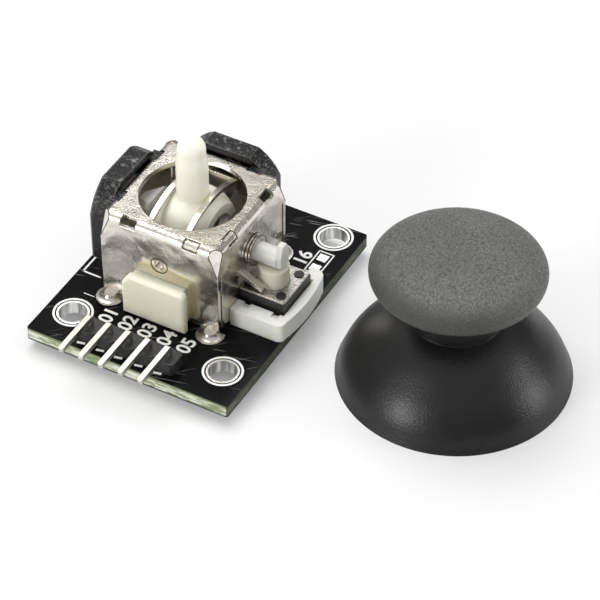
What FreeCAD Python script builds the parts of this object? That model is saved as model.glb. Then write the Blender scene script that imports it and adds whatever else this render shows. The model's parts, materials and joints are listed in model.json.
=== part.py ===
"""Two-axis analog joystick on a drilled board, with its thumb cap standing beside it.

Millimetres. X runs along the pin header, Y from the header to the rear edge, Z up.
The origin is the middle of the four mounting holes, on the underside of the board.
"""
import FreeCAD, Part
import math
import os

from FreeCAD import Vector

# Board
board_width = 26.0
board_depth = 32.4
board_thickness = 1.6
board_corner = 0.35
hole_spacing_x = 19.5
hole_spacing_y = 25.4
hole_bore = 3.3
front_margin = 4.67
pin_reach_below = 1.2
pin_clearance = 0.12

# Place of the mechanism on the board
mech_x = -0.95
mech_y = -0.57

# Folded metal frame
frame_side = 15.1
frame_height = 12.1
axis_depth = 4.75
sheet = 0.5
fold_radius = 0.9
corner_cut = 1.45
corner_drop = 3.5
corner_slit = 0.3
opening_radius = 6.08
opening_lip_drop = 0.2
wall_foot = 0.7
leg_width = 1.7
leg_inset = 0.15
slot_offset = 4.0
slot_width = 2.0
slot_depth = 1.0
ear_gap = 0.16
ear_root = 0.4
ear_chamfer = 0.35
journal_clearance = 0.08
press_room = 0.1
collar_wall = 0.55
collar_length = 0.76
collar_groove = 0.18
window_half = 3.2
window_below_axis = 2.05
lug_width = 0.9
lug_reach = 2.9
lug_rise = 0.9
lug_thickness = 0.42
lug_clearance = 0.38

# Moulded base
floor_thickness = 1.0
base_gap = 0.05
block_width = 8.1
block_height = 5.75
block_reach = 1.95
block_foot = 0.2
block_offset = 0.1
block_corner = 0.9
block_corner_drop = 1.25
block_round = 0.5
block_edge = 0.45
block_thickness = 0.85
neck_half = 3.3
neck_top = 5.4
rib_height = 5.35
rib_thickness = 0.75
post_radius = 1.15
post_below_axis = 4.15

# Switch and its pocket
switch_offset = 10.35
switch_side = 6.0
switch_leg_spacing = 4.5
switch_leg_width = 0.7
switch_leg_thickness = 0.3
switch_leg_top = 1.5
switch_leg_recess = 0.25
switch_leg_play = 0.05
switch_leg_headroom = 0.1
switch_height = 3.6
cover_thickness = 0.3
cover_side = 5.9
cover_corner = 0.3
cover_play = 0.08
rivet_radius = 0.57
rivet_spacing = 4.1
rivet_proud = 0.12
rivet_root = 0.3
button_radius = 1.75
button_flange = 2.1
button_gap = 0.05
button_travel = 0.25
dome_radius = 2.0
dome_sheet = 0.12
dome_rise = 0.75
button_flange_thickness = 0.7
button_flange_gap = 0.05
nub_gap = 0.02
nub_radius = 0.8
well_radius = 2.3
well_floor = 1.0
pocket_height = 2.4
pocket_front_wall = 1.85
pocket_side_wall = 0.75
pocket_bulge = 0.45
pocket_rear_reach = 2.3
pocket_gap = 0.1
pocket_front_play = 0.35
pocket_rear_play = 0.45
pocket_front_corner = 0.9
pocket_front_bow = (0.2, 0.25)
pocket_rear_corner = 1.2
pocket_rear_bow = (0.4, 0.3)
pocket_hook = 2.0
pocket_notches = (0.9, 4.6)
pocket_notch_width = 0.8
pocket_notch_reach = 0.7
pocket_notch_depth = 0.3

# Stick
shaft_radius = 1.83
shaft_top_radius = 1.62
shaft_length = 9.35
shaft_taper = 1.4
stick_reach = 12.95
bell_radius = 5.05
bell_wall = 0.8
bell_half_width = 3.3
bell_hem = 0.9
flare = 0.7
ball_radius = 2.75
foot_radius = 1.9
pin_radius = 0.6
pin_boss_radius = 1.3
pin_boss_play = 0.05
pin_inset = 0.35

# Yoke
ring_outer = 3.9
ring_inner = 2.9
ring_up = 1.0
ring_down = 1.3
arm_top = 0.93
arm_half_width = 1.3
lobe_start = 4.75
lobe_end = 6.7
lobe_high = 2.7
lobe_low = 1.9
lobe_wide = 2.3
lobe_narrow = 1.2
lobe_shoulder = 0.6
journal_radius = 1.165
journal_end = 11.15
fin_thickness = 0.6
fin_rise = 2.2
fin_root = ((0.36, -0.86), (0.82, -0.48), (0.82, 0.6))
tongue_height = 2.2
tongue_width = 1.2
tongue_end = 8.35
tongue_play_z = 0.09
tongue_play_y = 0.03

# Slotted arch
arch_proud = 0.6
arch_radius = 10.8
arch_sheet = 0.5
arch_half_width = 2.68
slot_half_width = 2.08
arch_slot_end = 5.3
arch_strap_half = 1.85
arch_tab_outer = 6.6
arch_pivot_radius = 1.0
arch_pivot_play = 0.08
arch_pip_wall = 0.36
arch_tab_end = 1.2
arch_tab_tip = 0.6
arch_knee_rise = 1.6
arch_slot_margin = 0.05
arch_pip_sunk = 0.02
arch_key_half = 0.7
arch_key_play = 0.03

# Spring seat and spring
seat_play = 0.07
seat_flange_radius = 2.85
seat_flange_below_axis = 3.15
seat_flange_thickness = 0.6
seat_top_below_axis = 2.42
seat_boss_radius = 1.9
seat_bore_play = 0.07
seat_sleeve_gap = 1.2
seat_bore_headroom = 0.3
spring_wire = 0.45
spring_radius = 2.4
spring_turns = 4
spring_steps = 14

# Potentiometers
pot_depth = 2.5
pot_radius = 6.3
pot_side_trim = 0.3
pot_far_trim = 0.75
pot_top_trim = 0.7
pot_wall = 0.5
pot_edge = 0.25
pot_drop = 4.1
rotor_gap = 0.2
rotor_start = 0.25
rotor_thickness = 0.8
hub_radius = 1.6
hub_play = 0.05
hub_inner_end = 6.85
wiper_thickness = 0.2
wiper_radius = 3.4
track_thickness = 0.4
track_gap = 0.02
track_inset = 0.8
track_top_trim = 0.4
track_play = 0.05
wiper_plate_share = 0.55
wiper_fingers = (-0.9, 0.3)
wiper_finger_width = 0.6
wiper_finger_rise = 1.2
wiper_finger_foot = 0.6
wiper_tip_height = 0.3
wiper_tip_thickness = 0.12
rotor_key_half = 0.65
tongue_end_play = 0.05
terminal_spacing = 2.5
terminal_width = 0.8
terminal_thickness = 0.3
terminal_reach = 1.75
hook_width = 1.7
hook_thickness = 0.45
hook_reach_share = 0.8
terminal_notch_width = 0.5
terminal_notch_length = 1.0
terminal_notch_rise = 1.5

# Pin header
header_count = 5
header_pitch = 2.54
header_row = 2.45
header_block_depth = 2.5
header_block_height = 1.6
header_block_chamfer = 0.35
header_pin_side = 0.64
header_pin_lift = 0.8
header_pin_bend = 0.5
header_pin_reach = 6.37
header_pin_point = 0.14

# Solder
cone_radius = 1.0
cone_tip_radius = 0.6
cone_height = 0.75
frame_pad_radius = 1.65
frame_pad_shift = 0.5
frame_cone_height = 0.62
frame_pad_thickness = 0.1
frame_peak_share = 0.42
frame_slope_sag = 0.12

# Thumb cap, standing on the level of the pin tips
cap_x = 30.7
cap_y = 2.4
skirt_radius = 13.31
skirt_wall = 1.2
neck_radius = 5.3
neck_height = 8.7
skirt_curve = ((0.0, 0.0), (0.057, 0.029), (0.172, 0.075), (0.322, 0.16), (0.483, 0.286), (0.644, 0.451),
               (0.805, 0.638), (0.92, 0.815), (1.0, 1.0))
socket_wall = 1.3
socket_play = 0.03
socket_start = 1.6
socket_depth = 8.0
grip_radius = 9.8
grip_underside = 14.1
grip_curve = ((0.935, 0.0), (0.985, 0.12), (1.0, 0.28), (0.985, 0.43), (0.93, 0.585), (0.80, 0.735),
              (0.60, 0.865), (0.30, 0.968), (0.0, 1.0))
grip_height = 3.62
neck_waist_radius = 5.8
neck_flare_radius = 7.7
neck_flare_height = 1.8
neck_flare_sag = 0.35
grip_plug_radius = 2.6
grip_plug_length = 3.0
grip_plug_play = 0.05
grip_seat_depth = 0.1

# Worked-out places
half_frame = frame_side / 2
inner_frame = half_frame - sheet
board_front = -(hole_spacing_y / 2 + front_margin)
board_rear = board_front + board_depth
axis_height = frame_height - axis_depth
window_height = axis_height - window_below_axis
stick_top = axis_height + stick_reach
shaft_shoulder = axis_height + shaft_length
arch_rise = axis_depth + arch_proud
post_top = axis_height - post_below_axis
seat_flange_top = axis_height - seat_flange_below_axis
seat_top = axis_height - seat_top_below_axis
seat_sleeve_end = floor_thickness + seat_sleeve_gap
pot_foot = axis_height - pot_drop
rotor_radius = pot_drop - pot_wall - rotor_gap
terminal_head = pot_foot + terminal_reach
floor_level = -pin_reach_below
pin_drop = board_thickness + pin_reach_below
button_top = axis_height - journal_radius - button_gap
cover_top = switch_height + cover_thickness
seat_cup_radius = ball_radius + seat_play


def box(x0, x1, y0, y1, z0, z1):
    """A block between two corners."""
    return Part.makeBox(x1 - x0, y1 - y0, z1 - z0, Vector(x0, y0, z0))


def rod(radius, start, end):
    """A round bar between two points."""
    a = Vector(*start)
    run = Vector(*end) - a
    return Part.makeCylinder(radius, run.Length, a, run)


def plate_xz(points, y0, y1):
    """A plate whose outline is drawn in X and Z."""
    corners = [Vector(x, y0, z) for x, z in points]
    face = Part.Face(Part.makePolygon(corners + corners[:1]))
    return face.extrude(Vector(0, y1 - y0, 0))


def plate_yz(points, x0, x1):
    """A plate whose outline is drawn in Y and Z."""
    corners = [Vector(x0, y, z) for y, z in points]
    face = Part.Face(Part.makePolygon(corners + corners[:1]))
    return face.extrude(Vector(x1 - x0, 0, 0))


def turned(edges, x=0.0, y=0.0):
    """A solid turned about the upright line through x, y from edges in the XZ plane."""
    face = Part.Face(Part.Wire(edges))
    solid = face.revolve(Vector(0, 0, 0), Vector(0, 0, 1), 360)
    solid.translate(Vector(x, y, 0))
    return solid


def line(a, b):
    """A straight edge in the XZ plane."""
    return Part.LineSegment(Vector(a[0], 0, a[1]), Vector(b[0], 0, b[1])).toShape()


def bow(a, through, b):
    """A circular edge in the XZ plane through three points."""
    points = [Vector(p[0], 0, p[1]) for p in (a, through, b)]
    return Part.Arc(*points).toShape()


def spline(points):
    """A smooth edge in the XZ plane through any number of points."""
    curve = Part.BSplineCurve()
    curve.interpolate([Vector(x, 0, z) for x, z in points])
    return curve.toShape()


def fused(first, *others):
    """One clean solid from touching or overlapping solids."""
    return first.multiFuse(list(others)).removeSplitter()


def at_mechanism(shape):
    """Moves a shape drawn about the mechanism's middle onto its place on the board."""
    moved = shape.copy()
    moved.translate(Vector(mech_x, mech_y, board_thickness))
    return moved


def to_rear(shape):
    """Turns a left-hand potentiometer piece round to the rear wall."""
    turned_shape = shape.copy()
    turned_shape.rotate(Vector(0, 0, 0), Vector(0, 0, 1), -90)
    return turned_shape


def frame_leg_places():
    """Middle of each frame leg, seen from above."""
    reach = half_frame - leg_inset - leg_width / 2
    edge = half_frame - sheet / 2
    return [(sx * reach, sy * edge) for sx in (-1, 1) for sy in (-1, 1)]


def terminal_places():
    """Middle of each left-hand potentiometer terminal, seen from above."""
    x = -(half_frame + pot_depth - pot_wall - track_thickness - terminal_thickness / 2)
    return [(x, k * terminal_spacing) for k in (-1, 0, 1)]


def switch_leg_places():
    """Middle of each switch leg, seen from above."""
    reach = switch_leg_spacing / 2
    edge = (switch_side + switch_leg_thickness) / 2
    return [(switch_offset + sx * reach, sy * edge) for sx in (-1, 1) for sy in (-1, 1)]


def header_places():
    """Middle of each header pin, in the part's own frame."""
    y = board_front + header_row
    first = mech_x - (header_count - 1) / 2 * header_pitch
    return [(first + k * header_pitch, y) for k in range(header_count)]


def circuit_board():
    """The board with its mounting holes and a hole for every pin and leg."""
    half = board_width / 2
    plate = box(-half, half, board_front, board_rear, 0, board_thickness)
    uprights = [e for e in plate.Edges if abs(e.Vertexes[0].Z - e.Vertexes[1].Z) > 0.1]
    plate = plate.makeFillet(board_corner, uprights)
    drills = []
    for sx in (-1, 1):
        for sy in (-1, 1):
            x, y = sx * hole_spacing_x / 2, sy * hole_spacing_y / 2
            drills.append(rod(hole_bore / 2, (x, y, -1), (x, y, board_thickness + 1)))
    for x, y in header_places():
        radius = header_pin_side / math.sqrt(2) + pin_clearance
        drills.append(rod(radius, (x, y, -1), (x, y, board_thickness + 1)))
    for x, y in frame_leg_places():
        wide = leg_width / 2 + pin_clearance
        thin = sheet / 2 + pin_clearance
        drills.append(at_mechanism(box(x - wide, x + wide, y - thin, y + thin, -board_thickness - 1, 1)))
    small = terminal_places() + [(-y, -x) for x, y in terminal_places()]
    for x, y in small + switch_leg_places():
        radius = terminal_width / 2 + pin_clearance
        drills.append(at_mechanism(rod(radius, (x, y, -board_thickness - 1), (x, y, 1))))
    return plate.cut(Part.makeCompound(drills))


def cut_corner_block(half, top, cut, drop, radius):
    """A square block with rounded top edges and its four top corners cut off."""
    block = box(-half, half, -half, half, 0, top)
    rim = [e for e in block.Edges if min(v.Z for v in e.Vertexes) > top - 0.01]
    block = block.makeFillet(radius, rim)
    for sx in (-1, 1):
        for sy in (-1, 1):
            a = Vector(sx * (half - cut), sy * half, top)
            b = Vector(sx * half, sy * (half - cut), top)
            c = Vector(sx * half, sy * half, top - drop)
            outward = (b - a).cross(c - a) * (sx * sy)
            chip = Part.makeBox(4 * half, 4 * half, half, Vector(-2 * half, -2 * half, 0))
            chip.Placement = FreeCAD.Placement((a + b + c) / 3, FreeCAD.Rotation(Vector(0, 0, 1), outward))
            block = block.cut(chip)
    return block


def metal_frame():
    """The can: folded shell, opening with a turned lip, legs, slots, collar and lug."""
    outer = cut_corner_block(half_frame, frame_height, corner_cut, corner_drop, fold_radius)
    inner = cut_corner_block(inner_frame, frame_height - sheet, corner_cut, corner_drop, fold_radius - 0.8 * sheet)
    shell = outer.cut(inner)
    shell = shell.cut(box(-half_frame - 1, half_frame + 1, -half_frame - 1, half_frame + 1, -1, wall_foot))
    lip_bottom = frame_height - sheet - opening_lip_drop
    lip = rod(opening_radius + sheet, (0, 0, lip_bottom), (0, 0, frame_height - sheet / 2))
    legs = []
    for x, y in frame_leg_places():
        legs.append(box(x - leg_width / 2, x + leg_width / 2, y - sheet / 2, y + sheet / 2,
                        -pin_drop, wall_foot + 0.5))
    collar_radius = journal_radius + journal_clearance + collar_wall
    collar = rod(collar_radius, (half_frame - sheet / 2, 0, axis_height),
                 (half_frame + collar_length, 0, axis_height))
    groove_start = half_frame + (collar_length - collar_groove) / 2
    groove_end = groove_start + collar_groove
    groove = rod(collar_radius + 1, (groove_start, 0, axis_height), (groove_end, 0, axis_height))
    groove_core = rod(collar_radius - collar_groove, (groove_start, 0, axis_height), (groove_end, 0, axis_height))
    collar = collar.cut(groove.cut(groove_core))
    lug_y = -window_half + 0.2
    lug_z = window_height + lug_rise
    lug_low = cover_top + lug_clearance
    lug = plate_xz([(inner_frame, lug_z), (half_frame, lug_z),
                    (half_frame + lug_reach, lug_low + lug_thickness),
                    (half_frame + lug_reach, lug_low), (inner_frame, lug_z - lug_thickness)],
                   lug_y, lug_y + lug_width)
    body = fused(shell, lip, collar, lug, *legs)

    body = body.cut(rod(opening_radius, (0, 0, lip_bottom - 1), (0, 0, frame_height + 1)))
    hole = journal_radius + journal_clearance
    x0, x1 = inner_frame - 1, half_frame + collar_length + 1
    low = axis_height - button_travel - press_room
    body = body.cut(fused(rod(hole, (x0, 0, axis_height), (x1, 0, axis_height)),
                          rod(hole, (x0, 0, low), (x1, 0, low)),
                          box(x0, x1, -hole, hole, low, axis_height)))
    front_hole = arch_pivot_radius + arch_pivot_play
    hub_hole = hub_radius + hub_play
    body = body.cut(Part.makeCompound([
        box(inner_frame - 1, half_frame + 0.01, -window_half, window_half, -1, window_height),
        box(block_offset - neck_half, block_offset + neck_half, -half_frame - 1, -inner_frame + 0.2, -1, neck_top),
        rod(front_hole, (0, -half_frame - 1, axis_height), (0, -inner_frame + 1, axis_height)),
        rod(hub_hole, (-half_frame - 1, 0, axis_height), (-inner_frame + 1, 0, axis_height)),
        rod(hub_hole, (0, inner_frame - 1, axis_height), (0, half_frame + 1, axis_height)),
    ]))
    slit_top = frame_height - corner_drop
    for sx in (-1, 1):
        for sy in (-1, 1):
            x = sorted((sx * (inner_frame - 0.1), sx * (half_frame + 0.1)))
            y = sorted((sy * inner_frame, sy * (inner_frame - corner_slit)))
            body = body.cut(box(x[0], x[1], y[0], y[1], 0, slit_top))
    ears = []
    for side in range(4):
        for offset in (-slot_offset, slot_offset):
            slot = box(offset - slot_width / 2, offset + slot_width / 2, -half_frame - 1,
                       -half_frame + slot_depth, frame_height - slot_depth, frame_height + 1)
            slot.rotate(Vector(0, 0, 0), Vector(0, 0, 1), side * 90)
            body = body.cut(slot)
            if (side, offset) in ((0, slot_offset), (1, -slot_offset)):
                ear = frame_ear(offset)
                ear.rotate(Vector(0, 0, 0), Vector(0, 0, 1), side * 90)
                ears.append(ear)
    return fused(body, *ears)


def frame_ear(offset):
    """Bent ear that fills a fold slot from inside, with a gap all round, drawn on the front side."""
    wide = slot_width / 2 - ear_gap
    near = -half_frame + ear_gap
    inside = -half_frame + sheet
    back = -half_frame + slot_depth - ear_gap
    top = frame_height - ear_gap
    low = frame_height - slot_depth + ear_gap
    foot = frame_height - slot_depth - ear_root
    under = top - sheet
    outline = [(inside, foot), (inside, low), (near, low), (near, top - ear_chamfer), (near + ear_chamfer, top),
               (back, top), (back, under), (inside + ear_root, under), (inside + ear_root, foot)]
    return plate_yz(outline, offset - wide, offset + wide)


def base_plate():
    """Moulded floor with the front block, a rib behind the frame wall and the switch pocket."""
    side = inner_frame - base_gap
    floor = box(-side, side, -side, side, 0, floor_thickness)
    for x, y in frame_leg_places():
        room = leg_width / 2 + 0.3
        floor = floor.cut(box(x - room, x + room, y - 0.6, y + 0.6, -1, 3))
    neck = neck_half - base_gap
    rib = box(block_offset - neck, block_offset + neck, -inner_frame + base_gap,
              -inner_frame + base_gap + rib_thickness, 0, rib_height)
    front = -half_frame - block_reach
    back = front + block_thickness
    throat = box(block_offset - neck, block_offset + neck, back - 0.1, -inner_frame + base_gap, block_foot,
                 neck_top - base_gap)
    x0, x1 = block_offset - block_width / 2, block_offset + block_width / 2
    top = block_foot + block_height
    outline = [(x0, block_foot), (x1, block_foot), (x1, top), (x0 + block_corner, top),
               (x0, top - block_corner_drop)]
    block = plate_xz(outline, front, back)
    upper = [e for e in block.Edges if len({round(v.Z, 3) for v in e.Vertexes}) == 1 and e.Length < 2 * block_thickness
             and e.Vertexes[0].Z > block_foot + 1]
    block = block.makeFillet(block_round, upper)
    rim = [e for e in block.Edges if e.BoundBox.YMax < front + 0.01]
    block = block.makeFillet(block_edge, rim)
    post = rod(post_radius, (0, 0, 0), (0, 0, post_top))

    near = half_frame + base_gap
    far = switch_offset + switch_side / 2 + pocket_gap
    inner_y = -switch_side / 2 - pocket_front_play
    front_y = inner_y - pocket_front_wall
    rear_y = switch_side / 2 + pocket_rear_reach
    wall = far + pocket_side_wall
    hook_x = wall - pocket_hook
    hook_y = switch_side / 2 + pocket_rear_play
    start = Vector(near, front_y, 0)
    front_turn = Vector(wall - pocket_front_corner, front_y, 0)
    front_bow = Vector(wall - pocket_front_bow[0], front_y + pocket_front_bow[1], 0)
    wall_start = Vector(wall, front_y + pocket_front_corner, 0)
    wall_end = Vector(wall, rear_y - pocket_rear_corner, 0)
    rear_bow = Vector(wall - pocket_rear_bow[0], rear_y - pocket_rear_bow[1], 0)
    rear_turn = Vector(wall - pocket_rear_corner, rear_y, 0)
    inside = [Vector(hook_x, rear_y, 0), Vector(hook_x, hook_y, 0), Vector(far, hook_y, 0),
              Vector(far, inner_y, 0), Vector(near, inner_y, 0), start]
    edges = [
        Part.LineSegment(start, front_turn),
        Part.Arc(front_turn, front_bow, wall_start),
        Part.Arc(wall_start, Vector(wall + pocket_bulge, 0, 0), wall_end),
        Part.Arc(wall_end, rear_bow, rear_turn),
    ]
    for here, there in zip([rear_turn] + inside, inside):
        edges.append(Part.LineSegment(here, there))
    face = Part.Face(Part.Wire([e.toShape() for e in edges]))
    pocket = face.extrude(Vector(0, 0, pocket_height))
    for place in pocket_notches:
        x = near + place
        pocket = pocket.cut(box(x, x + pocket_notch_width, inner_y - pocket_notch_reach, inner_y + 0.1,
                                pocket_height - pocket_notch_depth, pocket_height + 1))
    bridge = box(side - 1, near + 0.5, front_y + 0.3, inner_y, 0, wall_foot - base_gap)
    return fused(floor, rib, throat, block, post, pocket, bridge)


def switch_body():
    """Black moulding of the push switch, with a well for the button and four rivets."""
    half = switch_side / 2
    body = box(switch_offset - half, switch_offset + half, -half, half, 0, switch_height)
    body = body.cut(rod(well_radius, (switch_offset, 0, well_floor), (switch_offset, 0, switch_height + 1)))
    rivets = []
    for sx in (-1, 1):
        for sy in (-1, 1):
            x, y = switch_offset + sx * rivet_spacing / 2, sy * rivet_spacing / 2
            rivets.append(rod(rivet_radius, (x, y, switch_height - rivet_root), (x, y, cover_top + rivet_proud)))
    body = fused(body, *rivets)
    for x, y in switch_leg_places():
        side = math.copysign(1, y)
        near, far = sorted((y, side * (half - switch_leg_recess)))
        room = switch_leg_width / 2 + switch_leg_play
        body = body.cut(box(x - room, x + room, near, far, -1, switch_leg_top + switch_leg_headroom))
    return body


def switch_cover():
    """Metal cover of the switch with holes for the button and the rivets."""
    half = cover_side / 2
    plate = box(switch_offset - half, switch_offset + half, -half, half, switch_height, cover_top)
    corners = [e for e in plate.Edges if abs(e.Vertexes[0].Z - e.Vertexes[1].Z) > 0.1]
    plate = plate.makeFillet(cover_corner, corners)
    plate = plate.cut(rod(button_radius + cover_play, (switch_offset, 0, 0), (switch_offset, 0, cover_top + 1)))
    for sx in (-1, 1):
        for sy in (-1, 1):
            x, y = switch_offset + sx * rivet_spacing / 2, sy * rivet_spacing / 2
            plate = plate.cut(rod(rivet_radius, (x, y, 0), (x, y, cover_top + 1)))
    return plate


def switch_dome():
    """Snap dome, a shallow pressed disc on the floor of the well."""
    radius = (dome_radius ** 2 + dome_rise ** 2) / (2 * dome_rise)
    centre = well_floor + dome_rise - radius
    outer = Part.makeSphere(radius, Vector(switch_offset, 0, centre))
    inner = Part.makeSphere(radius - dome_sheet, Vector(switch_offset, 0, centre))
    return outer.cut(inner).common(rod(dome_radius + 1, (switch_offset, 0, well_floor), (switch_offset, 0, 3)))


def switch_button():
    """Cream push button with its retaining flange and nub."""
    flange_top = switch_height - button_flange_gap
    flange_low = flange_top - button_flange_thickness
    nub_end = well_floor + dome_rise + nub_gap
    return fused(rod(button_radius, (switch_offset, 0, flange_low), (switch_offset, 0, button_top)),
                 rod(button_flange, (switch_offset, 0, flange_low), (switch_offset, 0, flange_top)),
                 rod(nub_radius, (switch_offset, 0, nub_end), (switch_offset, 0, flange_low + 0.1)))


def switch_terminals():
    """Four switch legs, each down through the board."""
    legs = []
    for x, y in switch_leg_places():
        wide = switch_leg_width / 2
        thin = switch_leg_thickness / 2
        legs.append(box(x - wide, x + wide, y - thin, y + thin, -pin_drop, switch_leg_top))
    return Part.makeCompound(legs)


def stick():
    """Lever: domed shaft, bell that turns about the pivot, and ball foot."""
    tip = stick_top - shaft_top_radius
    turn = tip + shaft_top_radius * math.sin(math.radians(45))
    side = shaft_top_radius * math.cos(math.radians(45))
    fillet_height = math.sqrt((bell_radius + flare) ** 2 - (shaft_radius + flare) ** 2)
    fillet_top = axis_height + fillet_height
    lean = math.atan2(fillet_height, shaft_radius + flare)
    meet = (bell_radius * math.cos(lean), axis_height + bell_radius * math.sin(lean))
    half_way = (math.pi + lean + math.pi) / 2
    waist = (shaft_radius + flare + flare * math.cos(half_way), fillet_top + flare * math.sin(half_way))
    low = axis_height + bell_hem
    hem = math.sqrt(bell_radius ** 2 - bell_hem ** 2)
    inner = bell_radius - bell_wall
    inner_hem = math.sqrt(inner ** 2 - bell_hem ** 2)
    lean_out = (lean + math.atan2(bell_hem, hem)) / 2
    bulge = (bell_radius * math.cos(lean_out), axis_height + bell_radius * math.sin(lean_out))
    roof = axis_height + math.sqrt(inner ** 2 - shaft_radius ** 2)
    lean_in = (math.atan2(roof - axis_height, shaft_radius) + math.atan2(bell_hem, inner_hem)) / 2
    hollow = (inner * math.cos(lean_in), axis_height + inner * math.sin(lean_in))
    umbrella = turned([
        line((0, axis_height), (shaft_radius, axis_height)),
        line((shaft_radius, axis_height), (shaft_radius, roof)),
        bow((shaft_radius, roof), hollow, (inner_hem, low)),
        line((inner_hem, low), (hem, low)),
        bow((hem, low), bulge, meet),
        bow(meet, waist, (shaft_radius, fillet_top)),
        line((shaft_radius, fillet_top), (0, fillet_top)),
        line((0, fillet_top), (0, axis_height)),
    ])
    umbrella = umbrella.common(box(-bell_half_width, bell_half_width, -bell_radius, bell_radius, 0, stick_top))
    shaft = turned([
        line((0, fillet_top), (shaft_radius, fillet_top)),
        line((shaft_radius, fillet_top), (shaft_radius, shaft_shoulder)),
        line((shaft_radius, shaft_shoulder), (shaft_top_radius, shaft_shoulder + shaft_taper)),
        line((shaft_top_radius, shaft_shoulder + shaft_taper), (shaft_top_radius, tip)),
        bow((shaft_top_radius, tip), (side, turn), (0, stick_top)),
        line((0, stick_top), (0, fillet_top)),
    ])
    centre = Vector(0, 0, axis_height)
    ball = Part.makeSphere(ball_radius, centre)
    ball = ball.common(rod(foot_radius, (0, 0, axis_height - ball_radius), (0, 0, axis_height + ball_radius)))
    boss_end = math.sqrt(ring_inner ** 2 - pin_boss_radius ** 2) - pin_boss_play
    boss = rod(pin_boss_radius, (0, -boss_end, axis_height), (0, boss_end, axis_height))
    lever = fused(shaft, umbrella, ball, boss)
    return lever.cut(rod(pin_radius, (0, -ring_inner, axis_height), (0, ring_inner, axis_height)))


def stick_pin():
    """Steel pin across the yoke, on which the stick swings."""
    reach = ring_outer - pin_inset
    return rod(pin_radius, (0, -reach, axis_height), (0, reach, axis_height))


def yoke_lobe(side):
    """Raised lobe on a yoke arm, narrowing towards its journal."""
    a = [Vector(side * lobe_start, y, z) for y, z in lobe_section(lobe_wide, lobe_high)]
    b = [Vector(side * lobe_end, y, z) for y, z in lobe_section(lobe_narrow, lobe_low)]
    return Part.makeLoft([Part.makePolygon(a + a[:1]), Part.makePolygon(b + b[:1])], True, True)


def lobe_section(half, high):
    """Section across a lobe: flat top with chamfered shoulders."""
    top = axis_height + high
    low = axis_height - journal_radius
    flat = half - lobe_shoulder
    edge = top - lobe_shoulder
    return [(-half, low), (half, low), (half, edge), (flat, top), (-flat, top), (-half, edge)]


def yoke():
    """Lower gimbal arm: ring round the ball, two lobed arms, journal with its fin, and tongue."""
    ring = rod(ring_outer, (0, 0, axis_height - ring_down), (0, 0, axis_height + ring_up))
    arms = box(-lobe_end, lobe_end, -arm_half_width, arm_half_width, axis_height - journal_radius,
               axis_height + arm_top)
    body = fused(ring, arms, yoke_lobe(-1), yoke_lobe(1))
    body = body.cut(rod(ring_inner, (0, 0, 0), (0, 0, axis_height + 3)))
    journal = rod(journal_radius, (lobe_end - 0.5, 0, axis_height), (journal_end, 0, axis_height))
    side = [(journal_radius * out, journal_radius * up) for out, up in fin_root]
    side.append((side[0][0], fin_rise))
    outline = side + [(-y, z) for y, z in reversed(side)]
    fin = plate_yz([(y, axis_height + z) for y, z in outline], journal_end - 0.1, journal_end + fin_thickness)
    tongue = box(-tongue_end, -lobe_end + 0.5, -tongue_width / 2, tongue_width / 2,
                 axis_height - tongue_height / 2, axis_height + tongue_height / 2)
    body = fused(body, journal, fin, tongue)
    reach = ring_outer - pin_inset
    return body.cut(rod(pin_radius, (0, -reach, axis_height), (0, reach, axis_height)))


def arch_profile(rise, radius, reach, low):
    """Side view of the arch's outer or inner skin, in Y and Z, as a closed face."""
    top = axis_height + rise
    centre = top - radius
    shoulder = centre + math.sqrt(radius ** 2 - reach ** 2)
    points = [Vector(0, -reach, low), Vector(0, -reach, shoulder), Vector(0, 0, top), Vector(0, reach, shoulder),
              Vector(0, reach, low)]
    edges = [Part.LineSegment(points[0], points[1]).toShape(),
             Part.Arc(points[1], points[2], points[3]).toShape(),
             Part.LineSegment(points[3], points[4]).toShape(),
             Part.LineSegment(points[4], points[0]).toShape()]
    return Part.Face(Part.Wire(edges))


def slotted_arch():
    """Upper gimbal arm: a bent strap with a slot for the shaft, a front pip and a rear keyhole."""
    low = axis_height - arch_tab_end - 1
    wide = arch_half_width
    outer = arch_profile(arch_rise, arch_radius, arch_tab_outer, low).extrude(Vector(2 * wide, 0, 0))
    inner = arch_profile(arch_rise - arch_sheet, arch_radius - arch_sheet, arch_tab_outer - arch_sheet,
                         low - 1).extrude(Vector(2 * wide, 0, 0))
    strap = outer.cut(inner)
    strap.translate(Vector(-wide, 0, 0))
    strap = strap.cut(box(-slot_half_width, slot_half_width, -arch_slot_end, arch_slot_end, axis_height, 30))
    narrow = arch_slot_end + arch_slot_margin
    for sx in (-1, 1):
        for sy in (-1, 1):
            x = sorted((sx * arch_strap_half, sx * (wide + 1)))
            y = sorted((sy * narrow, sy * (arch_tab_outer + 1)))
            strap = strap.cut(box(x[0], x[1], y[0], y[1], 0, 30))
    end = arch_tab_end
    knee = axis_height + arch_knee_rise
    for sx in (-1, 1):
        taper = [(sx * 5, 0), (sx * 5, knee), (sx * arch_strap_half, knee), (sx * end, axis_height),
                 (sx * end * arch_tab_tip, axis_height - end), (0, axis_height - end), (0, 0)]
        strap = strap.cut(plate_xz(taper, -arch_tab_outer - 1, arch_tab_outer + 1))
    pip_start = (0, -half_frame + arch_pip_sunk, axis_height)
    pip = rod(arch_pivot_radius, pip_start, (0, -arch_tab_outer + 0.2, axis_height))
    pip = pip.cut(rod(arch_pivot_radius - arch_pip_wall, (0, -half_frame, axis_height),
                      (0, -half_frame + sheet, axis_height)))
    strap = fused(strap, pip)
    key_x = tongue_width / 2 + arch_key_play
    return strap.cut(box(-key_x, key_x, slot_half_width, arch_tab_outer + 1, axis_height - arch_key_half,
                         axis_height + arch_key_half))


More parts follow.
